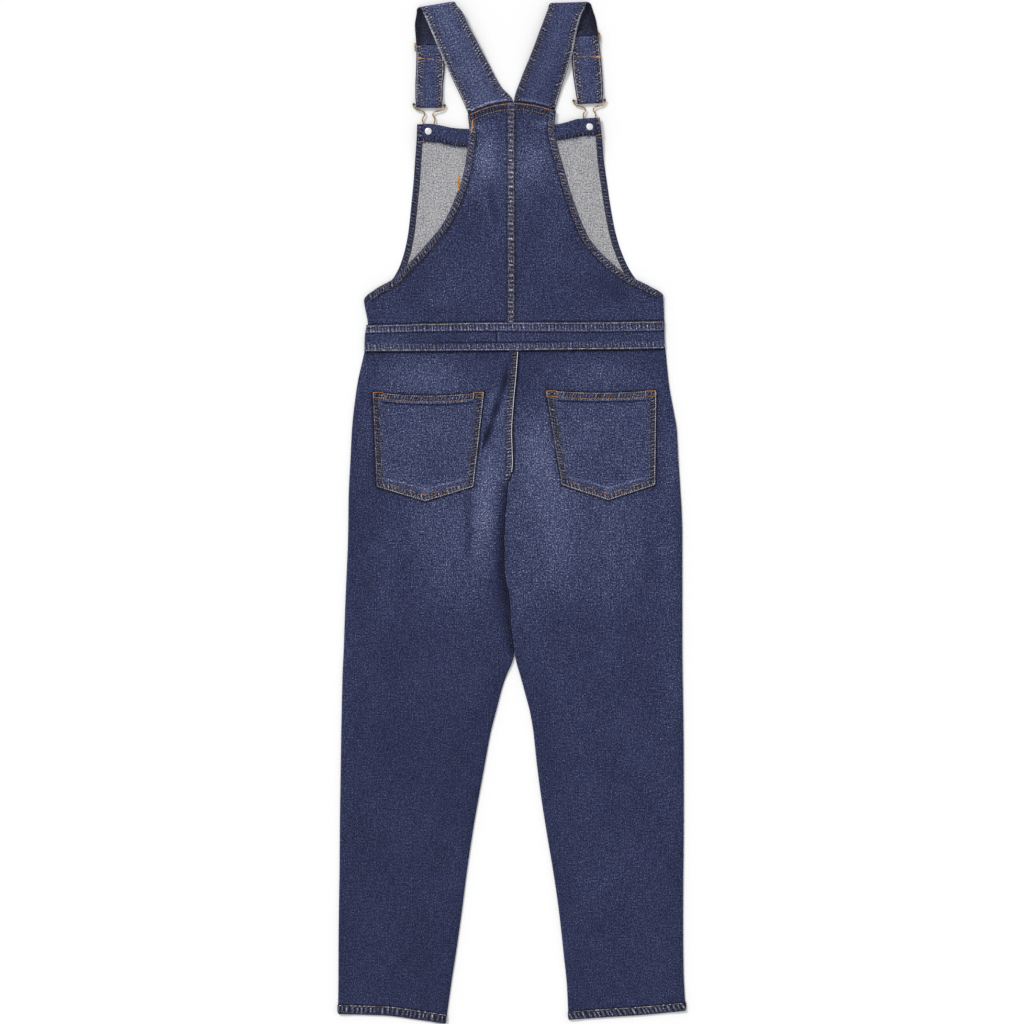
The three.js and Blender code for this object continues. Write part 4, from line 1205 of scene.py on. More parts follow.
def back_bib(side):
    node = f"back_bib_{side}"
    outline = Outline(node)
    panel = Panel(outline, stations(EDGE_SOFT, 54, EDGE_SOFT), stations(EDGE_ROUND, 84, EDGE_SOFT))
    low = panel.resting(node, 8)
    calm = ease(panel.to_bottom / (10 * MM)) * ease(panel.to_top / (12 * MM))
    low = low + creases(BIB_CREASES, panel.x, panel.y) * calm
    outer = "left" if side == "left" else "right"
    seam = ease((HIP_Y - panel.y) / (6 * MM))
    fade = bib_fade(panel.x, panel.y) + crease_shade_and_wear(creases(BIB_CREASES, panel.x, panel.y))
    piece = panel.build(
        node, low, CLOTH, fade, 0.0, [DENIM, WRONG_SIDE],
        folds=[(outer, BIB_SEAM_HEIGHT, seam)], free=[outer, "top"], seed=BIB_SEED,
    )
    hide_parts(node)
    return piece, outline


def armhole_hem(side, bib, outline):
    reach = outline.runs[side][:, 1].max() - 0.5 * MM
    track = side_track(outline, side, HIP_Y + 0.5 * MM, reach)
    rows = [1.8 * MM, ARMHOLE_HEM - 1.6 * MM]
    rope = Rope(
        0, ARMHOLE_HEM, rows, puff=0.55, depth=0.4, pitch=4.4, slant=0.5, seed=2.9, wear=0.9,
        edge_shades=(0, 0.4),
        tone=-0.08, grey=0.65,
    )
    offsets = np.concatenate([[-0.45, -0.1, 0.4], np.linspace(1.0, ARMHOLE_HEM / MM + 3, 13)]) * MM
    piece = ribbon(
        f"armhole_hem_{side}", track, offsets, rope, Ground.of_pieces(bib), DENIM, bib_fade, wrap=1.6 * MM,
        seed=BIB_SEED, inset=1.6 * MM,
    )
    ground = Ground.of_pieces(piece)
    row("dull grey dull ochre dull", track.off(rows[1])[2:-2], ground)
    row("dull grey dull grey ochre", track.off(rows[0])[2:-2], ground)
    return piece, track, ground


def bib_centre_seam(bibs, outline):
    y = np.linspace(outline.bottom(0) + 0.4 * MM, outline.top(0) - 0.4 * MM, 200)
    track = Track(np.stack([np.full_like(y, CENTRE_SEAM_X - 1.1 * MM), y], -1)[::-1])
    rows = [1.3 * MM, BACK_SEAM - 1.6 * MM]
    rope = Rope(
        0, BACK_SEAM, rows, puff=0.6, depth=0.34, pitch=6.4, slant=0.1, seed=3.9, wear=0.7,
        edge_shades=(1.1, 0.35),
        tone=0.1, grey=0.9,
    )
    offsets = felled_offsets(BACK_SEAM)
    piece = ribbon(
        "bib_centre_seam", track, offsets, rope, Ground.of_pieces(*bibs), DENIM, bib_fade, seed=BIB_SEED,
    )
    ground = Ground.of_pieces(piece)
    row("grey dull grey", track.off(rows[0])[2:-2], ground, gap=0.3 * MM)
    row("grey dull", track.off(rows[1])[2:-2], ground)
    return piece


def bib_top_hem(bibs, left_outline, right_outline):
    x_left = np.linspace(left_outline.left(0.545) + 0.8 * MM, CENTRE_SEAM_X, 120)
    x_right = np.linspace(CENTRE_SEAM_X, right_outline.right(0.55) - 0.8 * MM, 120)
    line = np.concatenate([
        np.stack([x_left, left_outline.top(x_left)], -1),
        np.stack([x_right, right_outline.top(x_right)], -1)[1:],
    ])
    track = Track(line)
    rows = [1.5 * MM, TOP_HEM - 3.2 * MM]
    rope = Rope(
        0, TOP_HEM, rows, puff=0.7, depth=0.22, pitch=4.4, slant=0.3, seed=5.1, wear=0.5, edge_shades=(0, -0.2),
        tone=-0.25, grey=0.5,
    )
    offsets = np.concatenate([[-0.45, -0.1, 0.4], np.linspace(1.0, TOP_HEM / MM + 3, 15)]) * MM
    piece = ribbon(
        "bib_top_hem", track, offsets, rope, Ground.of_pieces(*bibs), DENIM, bib_fade, wrap=1.2 * MM,
        seed=BIB_SEED, inset=1.6 * MM,
    )
    ground = Ground.of_pieces(piece)
    row("orange ochre orange orange", track.off(rows[0])[1:-1], ground, gap=0.3 * MM)
    row("grey ochre orange dull grey", track.off(rows[1])[1:-1], ground)
    return piece


# Seat pockets.

POCKET_HEM = 9.5 * MM
POCKET_FADE = 0.62
POCKET_SEAM = 9.5 * MM


def pocket_outline(node):
    """The pocket's edges, with its lower edge brought to a sharp point between its two straight halves."""
    outline = Outline(node, smooth=False)
    low = outline.runs["bottom"]
    (x0, y0), (x1, y1), (x2, y2), (x3, y3) = low[0], low[2], low[-3], low[-1]
    left_slope, right_slope = (y1 - y0) / (x1 - x0), (y3 - y2) / (x3 - x2)
    outline.bottom = lambda x: np.maximum(y0 + left_slope * (x - x0), y3 + right_slope * (x - x3))
    outline.point_x = (y3 - right_slope * x3 - y0 + left_slope * x0) / (left_slope - right_slope)
    return outline


def seat_pocket(side, seed):
    node = f"back_pocket_{side}"
    outline = pocket_outline(node)
    panel = Panel(outline, stations(EDGE_ROUND, 104, EDGE_ROUND), stations(EDGE_ROUND, 102, EDGE_ROUND))
    leg = legs[side]
    low = soften(leg["ground"].at(panel.x, panel.y), 4) + CLEAR
    seam_rows = [1.3 * MM, POCKET_SEAM - 1 * MM]
    sides = Rope(0, POCKET_SEAM, seam_rows, 0.45, 0.34, 4.4, 0.3, seed, 0.65, tone=-0.2, grey=0.85)
    foot = Rope(0, POCKET_SEAM, seam_rows, 0.45, 0.34, 4.6, 0.3, seed + 1, 0.75, tone=-0.15, grey=0.85)
    head_rows = [0.9 * MM, POCKET_HEM - 1.2 * MM]
    head = Rope(0, POCKET_HEM, head_rows, 0.7, 0.34, 4.0, 0.4, seed + 2, 0.7, tone=-0.2)
    corner = np.minimum(panel.to_left, panel.to_right)
    lean = math.cos(math.atan(0.29))
    rise, crest, grey = sides.relief(corner, panel.y)
    for rope, distance, along in (
        (foot, panel.to_bottom * lean, panel.x), (head, panel.to_top, panel.x),
    ):
        other, other_crest, other_grey = rope.relief(distance, along)
        rise = np.where(np.abs(other) > np.abs(rise), other, rise)
        crest = np.where(np.abs(other_crest) > np.abs(crest), other_crest, crest)
        grey = np.maximum(grey, other_grey)
    sag = creases(POCKET_SAGS[side], panel.x, panel.y)
    mouth = 0.5 * MM * ease((26 * MM - panel.to_top) / (20 * MM)) * ease(corner / (30 * MM))
    fade = POCKET_FADE + 0.2 * leg_fade(panel.x, panel.y) - 0.25 * ease((POCKET_SEAM - corner) / (3 * MM))
    edge = 0.3 * np.exp(-np.minimum(corner, panel.to_bottom) / (0.6 * MM))
    inner_edge = panel.to_bottom - 17.5 * MM + 0.05 * np.abs(panel.x - outline.point_x)
    edge = edge + 0.45 * groove(inner_edge, 1.1 * MM) * ease((corner - POCKET_SEAM) / (3 * MM))
    edge = edge + 0.4 * groove(panel.x - outline.point_x, 6 * MM) * groove(panel.to_bottom - 12 * MM, 5 * MM)
    past_hem = panel.to_top - POCKET_HEM
    edge = edge + 0.5 * groove(past_hem - 0.6 * MM, 1.0 * MM) * ease((corner - 12 * MM) / (9 * MM))
    # Painted shadow below the hem, where the pocket's mouth sags.
    edge = edge - 0.75 * groove(past_hem - 3.2 * MM, 1.2 * MM) * ease((corner - 9 * MM) / (9 * MM))
    piece = panel.build(
        node, low + mouth + sag, CLOTH + rise, fade, crest + edge, [DENIM],
        free=["left", "right", "bottom", "top"], seed=15.0 if side == "left" else 16.0, grey=grey,
    )
    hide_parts(node)
    sew_pocket(outline, Ground.of_pieces(piece))
    pocket_shade(side, outline)
    return piece


def pocket_shade(side, outline):
    """Painted shade on the leg all round a pocket."""
    low, top = outline.runs["bottom"], outline.runs["top"]
    down = np.linspace(top[-1, 1], low[0, 1], 60)
    across = np.linspace(low[0, 0], low[-1, 0], 80)
    up = np.linspace(low[-1, 1], top[0, 1], 60)
    back = np.linspace(top[0, 0], top[-1, 0], 80)
    line = np.concatenate([
        np.stack([outline.left(down), down], -1)[:-1], np.stack([across, outline.bottom(across)], -1)[:-1],
        np.stack([outline.right(up), up], -1)[:-1], np.stack([back, outline.top(back)], -1),
    ])
    hollow = PaintedShade(0.85, 1.4 * MM, 0.12, 4 * MM)
    return painted_shade_line(
        f"pocket_hollow_{side}", Track(line), hollow, legs[side]["ground"], leg_fade, LEG_SEED, 6 * MM)


POCKET_SAGS = {
    "left": table("x1 y1 x2 y2 width rise", [
        [-165, 150, -100, 148, 8, -0.4],
        [-160, 60, -120, 46, 14, 0.25],
        [-80, 120, -90, 60, 14, 0.35],
    ]),
    "right": table("x1 y1 x2 y2 width rise", [
        [75, 148, 140, 150, 7, -0.5],
        [85, 110, 100, 50, 14, 0.4],
        [170, 120, 160, 60, 16, 0.3],
    ]),
}


def sew_pocket(outline, ground):
    """Two rows down each side, round the point and along the hem, with a boxed bartack at both top
    corners."""
    top, low = outline.runs["top"], outline.runs["bottom"]
    high_y = top[:, 1].max()
    sides = (
        ("left", 1, "grey pale dull ochre", "dull grey"),
        ("right", -1, "pale white", "dull ochre dull"),
    )
    for side, sign, outer, inner in sides:
        edge = getattr(outline, side)
        low_y = low[0, 1] if side == "left" else low[-1, 1]
        y = np.linspace(low_y + 1 * MM, high_y - 2 * MM, 60)
        row(outer, np.stack([edge(y) + sign * 1.3 * MM, y], -1), ground)
        y = np.linspace(low_y + 5 * MM, high_y - POCKET_HEM, 60)
        row(inner, np.stack([edge(y) + sign * (POCKET_SEAM - 1 * MM), y], -1), ground)
    x = np.linspace(low[0, 0] + 1.3 * MM, low[-1, 0] - 1.3 * MM, 120)
    row("pale white orange pale", np.stack([x, outline.bottom(x) + 1.4 * MM], -1), ground)
    x = np.linspace(low[0, 0] + POCKET_SEAM, low[-1, 0] - POCKET_SEAM, 120)
    row("orange ochre dull", np.stack([x, outline.bottom(x) + POCKET_SEAM - 0.6 * MM], -1), ground)
    x = np.linspace(top[:, 0].min() + 14 * MM, top[:, 0].max() - 14 * MM, 100)
    row("pale ochre", np.stack([x, outline.top(x) - 0.9 * MM], -1), ground)
    row("ochre orange grey", np.stack([x, outline.top(x) - POCKET_HEM + 1.2 * MM], -1), ground)
    left, right = top[:, 0].min(), top[:, 0].max()
    high, deep = outline.top(left) - 1.0 * MM, outline.top(left) - POCKET_HEM + 1.2 * MM
    for a, b, key in (
        ((left + 1 * MM, high), (left + 15 * MM, high), "orange"),
        ((left + 1.4 * MM, high), (left + 1.8 * MM, deep - 1 * MM), "orange"),
        ((left + 8 * MM, deep), (left + 17 * MM, deep - 0.6 * MM), "orange"),
        ((left + 2 * MM, deep), (left + 8 * MM, deep), "ochre"),
        ((left + 15 * MM, high - 2 * MM), (left + 20 * MM, deep - 1 * MM), "ochre"),
    ):
        row(key, [a, b], ground, gap=0.2 * MM, radius=0.55 * MM)
    high, deep = outline.top(right) - 1.0 * MM, outline.top(right) - POCKET_HEM + 1.2 * MM
    for a, b, key in (
        ((right - 15 * MM, high + 0.6 * MM), (right - 15 * MM, deep), "orange"),
        ((right - 14 * MM, high), (right - 1 * MM, high), "orange"),
        ((right - 1.6 * MM, high), (right - 2.2 * MM, deep - 1 * MM), "orange"),
        ((right - 13 * MM, deep), (right - 3 * MM, deep), "ochre"),
    ):
        row(key, [a, b], ground, gap=0.2 * MM, radius=0.6 * MM)


# Straps: each row gives the two edges of the strap and the height of its middle.

STRAPS = {
    "left": {
        "back": table("leftX leftY rightX rightY z", [
            [-56.5, 537.0, 0.5, 553.0, 1.95],
            [-61.5, 552.0, 1.2, 566.0, 1.95],
            [-74.0, 580.0, -15.5, 588.0, 2.6],
            [-88.0, 608.5, -36.0, 626.0, 4.9],
            [-96.5, 628.0, -46.5, 646.0, 7.5],
            [-107.0, 653.0, -60.5, 673.0, 7.8],
            [-117.0, 676.5, -68.5, 690.0, 8.2],
            [-124.0, 692.5, -77.0, 700.3, 8.2],
        ]),
        "front": table("leftX leftY rightX rightY z", [
            [-131.5, 691.5, -84.5, 699.3, 1.0],
            [-134.0, 672.0, -91.5, 674.0, 1.0],
            [-132.0, 640.0, -94.2, 640.0, 1.0],
            [-132.5, 612.0, -93.0, 612.0, 1.0],
            [-133.5, 588.0, -95.0, 588.0, 1.0],
            [-133.5, 572.0, -95.5, 572.0, 1.0],
            [-132.5, 561.5, -96.5, 561.5, 1.0],
        ]),
        "slider": (-113.2 * MM, 641.7 * MM),
        "lean": 0.01,
    },
    "right": {
        "back": table("leftX leftY rightX rightY z", [
            [3.0, 552.5, 54.5, 540.0, 1.95],
            [2.8, 565.5, 59.0, 554.5, 1.95],
            [12.0, 597.0, 69.5, 589.5, 2.8],
            [20.5, 618.0, 77.5, 612.5, 5.0],
            [28.5, 638.0, 83.5, 634.0, 7.5],
            [37.5, 662.0, 88.5, 660.0, 7.9],
            [45.5, 683.5, 94.5, 683.0, 8.2],
            [50.5, 698.0, 101.5, 699.5, 8.2],
        ]),
        "front": table("leftX leftY rightX rightY z", [
            [61.5, 697.5, 109.5, 699.0, 1.0],
            [73.5, 676.0, 116.0, 678.0, 1.0],
            [80.6, 651.5, 119.8, 653.5, 1.0],
            [83.5, 609.0, 124.5, 608.0, 1.0],
            [88.0, 577.0, 126.0, 578.5, 1.0],
            [89.5, 566.6, 125.0, 568.2, 1.0],
        ]),
        "slider": (100.4 * MM, 653.8 * MM),
        "lean": 0.08,
    },
}
STRAP_FADES = {"left": (0.75, 0.55), "right": (0.4, 0.55)}
RETURN_STITCHES = {"left": (626.4 * MM, 623.6 * MM), "right": (628.3 * MM, 627.6 * MM)}
RETURN_ROWS = [
    ("hook", 6 * MM, 5.3 * MM),
    ("hook", 16 * MM, 3.6 * MM),
    ("hook", 30 * MM, 3.3 * MM),
    ("slider", -17 * MM, 3.3 * MM),
    ("slider", -8.5 * MM, 5.1 * MM),
    ("slider", -0.4 * MM, 5.1 * MM),
    ("slider", 0.6 * MM, 4.9 * MM),
    ("slider", 1.4 * MM, 4.3 * MM),
    ("slider", 1.8 * MM, 3.5 * MM),
]
FRAME_ROWS = [
    (13.5 * MM, 1.0 * MM),
    (9.6 * MM, 3.2 * MM),
    (7.2 * MM, 4.7 * MM),
    (5.6 * MM, 4.75 * MM),
    (4.4 * MM, 3.6 * MM),
    (3.7 * MM, 2.2 * MM),
    (2.4 * MM, 1.0 * MM),
]
HOOK_TURN_TOP = 5.6 * MM
HOOK_TURN_REACH = 1.35
RETURN_INSET = 0.7 * MM
SHOULDER = np.array([-0.12, 1, 0]) / math.hypot(0.12, 1)


def section(entry):
    return np.array([
        [entry["leftX"], entry["leftY"], entry["z"]], [entry["rightX"], entry["rightY"], entry["z"]],
    ])


def half_turn(start, end, outward, steps):
    """Carries a section over a half turn to the next one."""
    radius = abs(start[0, 2] - end[0, 2]) / 2
    made = []
    for k in range(1, steps):
        angle = math.pi * k / steps
        share = (1 - math.cos(angle)) / 2
        made.append(start + (end - start) * share + outward * radius * math.sin(angle))
    return made


def strap_sections(strap):
    """The strap's edges from under the back bib, over the shoulder, round the hook's bar and into the slider."""
    over = [section(entry) for entry in strap["back"]]
    under = [section(entry) for entry in strap["front"]]
    bar = under[-1]
    slider_x, slider_y = strap["slider"]
    ys = [entry["leftY"] for entry in strap["front"]]
    left_at = reader(ys, [entry["leftX"] for entry in strap["front"]])
    right_at = reader(ys, [entry["rightX"] for entry in strap["front"]])
    over_frame = []
    for up, z in FRAME_ROWS:
        y = slider_y + up
        left, right = float(left_at(y)), float(right_at(y))
        slope = math.tan(strap["lean"])
        over_frame.append(np.array([
            [left, y + slope * (left - slider_x), z], [right, y + slope * (right - slider_x), z],
        ]))
    first_below = next(k for k, entry in enumerate(strap["front"]) if entry["leftY"] < slider_y)
    under = under[:first_below] + over_frame + under[first_below:]
    bar_slope = (bar[1, 1] - bar[0, 1]) / (bar[1, 0] - bar[0, 0])
    returned = []
    for base, up, z in RETURN_ROWS:
        on_hook = base == "hook"
        slope = bar_slope if on_hook else math.tan(strap["lean"])
        pivot = bar[0, 0] if on_hook else slider_x
        y = (bar[0, 1] if on_hook else slider_y) + up
        width_y = min(y, slider_y - 2 * MM)
        left, right = float(left_at(width_y)) + RETURN_INSET, float(right_at(width_y)) - RETURN_INSET
        returned.append(np.array([
            [left, y + slope * (left - pivot), z], [right, y + slope * (right - pivot), z],
        ]))
    bar_top = bar.copy()
    bar_top[:, 2] = HOOK_TURN_TOP
    shoulder = half_turn(over[-1], under[0], SHOULDER, 14)
    loop = half_turn(bar, bar_top, np.array([0, -HOOK_TURN_REACH, 0]), 10)
    return np.array([*over, *shoulder, *under, *loop, bar_top, *returned])


STRAP_PITCH = 4.0


def strap(side, seed, hem_tops):
    settings = STRAPS[side]
    rows = strap_sections(settings)
    middle = rows.mean(1)
    length = np.concatenate([[0], np.cumsum(np.linalg.norm(np.diff(middle, axis=0), axis=1))])
    s = np.linspace(0, length[-1], int(length[-1] / RIBBON_STEP))
    a, b = (np.stack([reader(length, rows[:, e, k])(s) for k in range(3)], -1) for e in (0, 1))
    width = np.linalg.norm(b - a, axis=1)
    share, offset = stations(EDGE_ROUND, 38, EDGE_ROUND)
    across = width[:, None] * share + offset
    t = across / width[:, None]
    centre = a[:, None] * (1 - t[..., None]) + b[:, None] * t[..., None]
    line = (a + b) / 2
    ahead = np.gradient(line, s, axis=0)
    normal = np.cross(b - a, ahead)
    normal /= np.linalg.norm(normal, axis=1)[:, None]
    near_edge = np.minimum(across, width[:, None] - across)
    along = s[:, None] + 0 * across
    rope = Rope(
        0, 10 * MM, [2.2 * MM, 8.8 * MM], 0.15, 0.3, STRAP_PITCH, 0.05, seed, 0.95, tone=0.12, grey=0.75,
    )
    second_row = 0.5 * STRAP_PITCH * MM * ease((near_edge - 5.2 * MM) / (0.6 * MM))
    rise, crest, grey = rope.relief(near_edge, along + second_row + np.where(t > 0.5, 0.031, 0))
    crest = crest - 0.5 * groove(near_edge - 5.5 * MM, 0.5 * MM)
    curved = ease(np.abs(np.gradient(np.arctan2(ahead[:, 2], ahead[:, 1]))) / 0.02)[:, None]
    rise = rise * (1 - 0.7 * curved)
    r = 1.0 * MM
    roundness = np.maximum(np.sqrt(1 - np.clip(1 - near_edge / r, 0, 1) ** 2), 0.15)
    half = STRAP_CLOTH / 2 * roundness
    upper = centre + normal[:, None] * (half + np.maximum(rise, -0.3 * MM) * roundness)[..., None]
    lower = centre - normal[:, None] * (half + 0.3 * rise * roundness)[..., None]
    weave = np.stack([across, along, np.full_like(along, 18.0 if side == "left" else 19.0)], -1)
    front = ease((s - s[np.argmax(line[:, 1])]) / (8 * MM))[:, None]
    on_back, on_front = STRAP_FADES[side]
    rubbed = on_back + (on_front - on_back) * front + 0.42 * np.sin(math.pi * t) ** 1.5
    # Painted shade, darker and greyer, on the front run between the shoulder turn and the slider, inside the
    # loop.
    inside = front * ease((line[:, 1] - settings["slider"][1] - 3 * MM) / (5 * MM))[:, None]
    rubbed = rubbed - 1.15 * inside
    grey = np.maximum(grey, 0.7 * inside)
    fade = rubbed - 0.3 * ease((10 * MM - near_edge) / (2.5 * MM))
    outer = across if side == "left" else width[:, None] - across
    rubbed_edge = ease((line[:, 1] - 0.592) / 0.02) * ease((0.692 - line[:, 1]) / 0.01) * (s < 0.2)
    crest = crest + 0.6 * np.exp(-near_edge / (0.55 * MM))
    crest = crest + 1.1 * np.exp(-outer / (0.9 * MM)) * rubbed_edge[:, None]
    x = centre[..., 0]
    hem_top = np.where(x < CENTRE_SEAM_X, hem_tops[0](x), hem_tops[1](x))
    from_hem = centre[..., 1] - hem_top
    # Painted shadow of the bib's top hem on the strap just above it, then a paler rubbed strip.
    on_start = (s < 0.1)[:, None]
    crest = crest - on_start * 1.4 * groove(np.maximum(from_hem - 0.5 * MM, 0), 1.7 * MM)
    crest = crest + on_start * 0.6 * groove(from_hem - 4.6 * MM, 1.3 * MM) * (t > 0.12) * (t < 0.88)
    piece = shell(f"strap_{side}", upper, lower, weave, fade, crest, [STRAP_DENIM], grey=grey)
    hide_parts(f"strap_{side}")
    start = int(np.argmax(line[:, 1] > hem_tops[side == "right"](line[:, 0]) + 4 * MM))
    back_run = slice(start, int(np.argmax(line[:, 1])) - 8)
    sew_strap(settings, piece, side, a[back_run], b[back_run])
    return (float(width.max()), float(length[-1])), float(width.mean() * length[-1])


def sew_strap(settings, piece, side, left_edge, right_edge):
    """A row of stitches along each edge of the strap's runs, and the row across the returned end, with a
    bartack at one end of it."""
    ground = Ground.of_pieces(piece)
    unit = (right_edge - left_edge) / np.linalg.norm(right_edge - left_edge, axis=1)[:, None]
    keys = {"left": ("pale", "dull"), "right": ("dull", "pale")}[side]
    row(keys[0], (left_edge + 1.7 * MM * unit)[:, :2], ground, gap=0.4 * MM)
    row(keys[1], (right_edge - 1.7 * MM * unit)[:, :2], ground, gap=0.4 * MM)
    runs = settings["front"]
    low_y, high_y = runs[-1]["leftY"] + 4 * MM, settings["slider"][1] - 8 * MM
    y = np.linspace(low_y, high_y, 80)
    for edge, sign in (("left", 1), ("right", -1)):
        x_at = reader([entry[edge + "Y"] for entry in runs], [entry[edge + "X"] for entry in runs])
        row("pale grey pale", np.stack([x_at(y) + sign * 2.4 * MM, y], -1), ground, gap=0.2 * MM)
    bar = settings["front"][-1]
    high, low = RETURN_STITCHES[side]
    x = np.linspace(bar["leftX"] + 1.5 * MM, bar["rightX"] - 2 * MM, 40)
    line = np.stack([x, np.linspace(high, low, 40)], -1)
    row("orange ochre dull orange", line, ground, gap=0.2 * MM)
    start, end = (0, 7) if side == "left" else (-9, -1)
    bartack("orange", line[start], line[end], ground, width=2.0 * MM)


# Brass: sliders, hooks and buttons, and the rivets' steel backs.

def lathe(name, profile, place, material, sides=40):
    """Turns a profile of radii and heights about an upright axis; its ends lie on the axis."""
    points, faces = [], []
    ring_at = []
    for radius, height in profile:
        ring_at.append(len(points))
        count = 1 if radius == 0 else sides
        for k in range(count):
            angle = 2 * math.pi * k / sides
            x = place[0] + radius * math.cos(angle)
            y = place[1] + radius * math.sin(angle)
            points.append((x, y, place[2] + height))
    for (r0, _), (r1, _), a, b in zip(profile[:-1], profile[1:], ring_at[:-1], ring_at[1:]):
        for k in range(sides):
            j = (k + 1) % sides
            if r0 == 0:
                faces.append([a, b + j, b + k])
            elif r1 == 0:
                faces.append([a + k, a + j, b])
            else:
                faces.append([a + k, a + j, b + j, b + k])
    return add_piece(name, points, faces, None, None, [material])


def tube_mesh(path, radius, sides=12):
    """Points and faces of a closed round wire through points in a plane, capped at both ends."""
    path = np.asarray(path, float)
    ahead = np.gradient(path, axis=0)
    ahead /= np.linalg.norm(ahead, axis=1)[:, None]
    up = np.array([0, 0, 1.0])
    side = np.cross(ahead, up)
    turn = 2 * math.pi * np.arange(sides) / sides
    ring = side[:, None] * np.cos(turn)[None, :, None] + up * np.sin(turn)[None, :, None]
    points = (path[:, None] + radius * ring).reshape(-1, 3)
    faces = []
    for j in range(len(path) - 1):
        for k in range(sides):
            a, b = j * sides + k, j * sides + (k + 1) % sides
            faces.append([a, b, b + sides, a + sides])
    last = (len(path) - 1) * sides
    faces.append(list(range(sides))[::-1])
    faces.append([last + k for k in range(sides)])
    return points, faces


def ball_mesh(centre, radius, sides=16, rings=10):
    points, faces = [], []
    for j in range(rings + 1):
        polar = math.pi * j / rings
        for k in range(sides):
            angle = 2 * math.pi * k / sides
            points.append((
                centre[0] + radius * math.sin(polar) * math.cos(angle),
                centre[1] + radius * math.sin(polar) * math.sin(angle),
                centre[2] - radius * math.cos(polar),
            ))
    for j in range(rings):
        for k in range(sides):
            a, b = j * sides + k, j * sides + (k + 1) % sides
            faces.append([a, b, b + sides, a + sides])
    return np.array(points), faces


def joined(name, parts, materials, slots=None):
    """One mesh from several; `slots` gives the material of each part."""
    points, faces, slot = [], [], []
    for k, (part_points, part_faces) in enumerate(parts):
        start = sum(len(p) for p in points)
        points.append(part_points)
        faces += [[start + i for i in face] for face in part_faces]
        slot += [slots[k] if slots else 0] * len(part_faces)
    return add_piece(name, np.concatenate(points), faces, None, None, materials, slot)


WIRE = 1.8 * MM
KNOB = 3.6 * MM
WIRE_HEIGHT = 3.3 * MM
HOOK_BAR_Y = 36.6 * MM
HOOK_HALF = np.array([
    [0, -4.9], [3.0, -3.9], [4.3, -1.0], [4.7, 3.0], [7.2, 10.5], [8.6, 16.0], [7.0, 20.3], [5.5, 23.2],
    [7.2, 26.6], [12.0, 28.4], [17.2, 29.8], [20.9, 32.6], [21.5, 36.6],
]) * MM
BUTTONS = {"left": (-115.5 * MM, 525.1 * MM, -0.035), "right": (107.2 * MM, 531.3 * MM, 0.02)}
RIVET_WIDTH = 9.5 * MM


def rounded_path(points, count):
    """A smooth path through points, as a chain of cubic stretches."""
    points = np.asarray(points, float)
    wide = np.concatenate([[2 * points[0] - points[1]], points, [2 * points[-1] - points[-2]]])
    made = []
    for k in range(len(points) - 1):
        p0, p1, p2, p3 = wide[k:k + 4]
        for t in np.arange(count) / count:
            made.append(0.5 * (
                2 * p1 + (p2 - p0) * t + (2 * p0 - 5 * p1 + 4 * p2 - p3) * t ** 2
                + (3 * p1 - p0 - 3 * p2 + p3) * t ** 3
            ))
    made.append(points[-1])
    return np.array(made)


def hook(side):
    x, y, turn = BUTTONS[side]
    half = np.concatenate([HOOK_HALF, np.zeros((len(HOOK_HALF), 1))], 1)
    mirrored = half[:0:-1] * [-1, 1, 1]
    wire = rounded_path(np.concatenate([mirrored, half]), 6)
    reach = HOOK_HALF[-1, 0]
    bar = np.stack([np.linspace(-reach, reach, 8), np.full(8, HOOK_BAR_Y), np.zeros(8)], -1)
    parts = [tube_mesh(wire, WIRE / 2), tube_mesh(bar, WIRE / 2)]
    for sign in (-1, 1):
        parts.append(ball_mesh((sign * reach, HOOK_BAR_Y, 0), KNOB / 2))
    c, s = math.cos(turn), math.sin(turn)
    spin = np.array([[c, s, 0], [-s, c, 0], [0, 0, 1]])
    placed = [(points @ spin + [x, y, WIRE_HEIGHT], faces) for points, faces in parts]
    piece = joined(f"hook_{side}", placed, [BRASS, KNOB_BRASS_DARK_REFLECTION], [0, 0, 1, 1])
    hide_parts(f"hook_{side}")
    return piece


def slider(side):
    """The slider's rounded frame and its middle bar."""
    settings = STRAPS[side]
    width, height, bar, depth = 43 * MM, 13.6 * MM, 1.9 * MM, 1.4 * MM
    x, y = width / 2 - bar / 2, height / 2 - bar / 2
    corner = 2.0 * MM
    path = []
    for cx, cy, start in ((x, -y, -90), (x, y, 0), (-x, y, 90), (-x, -y, 180)):
        for k in range(7):
            angle = math.radians(start + 15 * k)
            path.append((
                cx - math.copysign(corner, cx) + corner * math.cos(angle),
                cy - math.copysign(corner, cy) + corner * math.sin(angle), 0,
            ))
    path = np.array(path)
    parts = [closed_tube(path, bar / 2, depth / 2)]
    middle = np.stack([np.linspace(-x, x, 10), np.zeros(10), np.zeros(10)], -1)
    parts.append(flat_tube(middle, bar / 2, depth / 2))
    lean = settings["lean"]
    c, s = math.cos(lean), math.sin(lean)
    spin = np.array([[c, s, 0], [-s, c, 0], [0, 0, 1]])
    place = [*settings["slider"], 3.0 * MM]
    piece = joined(f"slider_{side}", [(points @ spin + place, faces) for points, faces in parts], [BRASS])
    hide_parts(f"slider_{side}")
    return piece


def bar_ring(half_width, half_height, sides=12):
    turn = 2 * math.pi * (np.arange(sides) + 0.5) / sides
    flat = 0.6
    x = np.sign(np.cos(turn)) * np.abs(np.cos(turn)) ** flat
    z = np.sign(np.sin(turn)) * np.abs(np.sin(turn)) ** flat
    return x * half_width, z * half_height


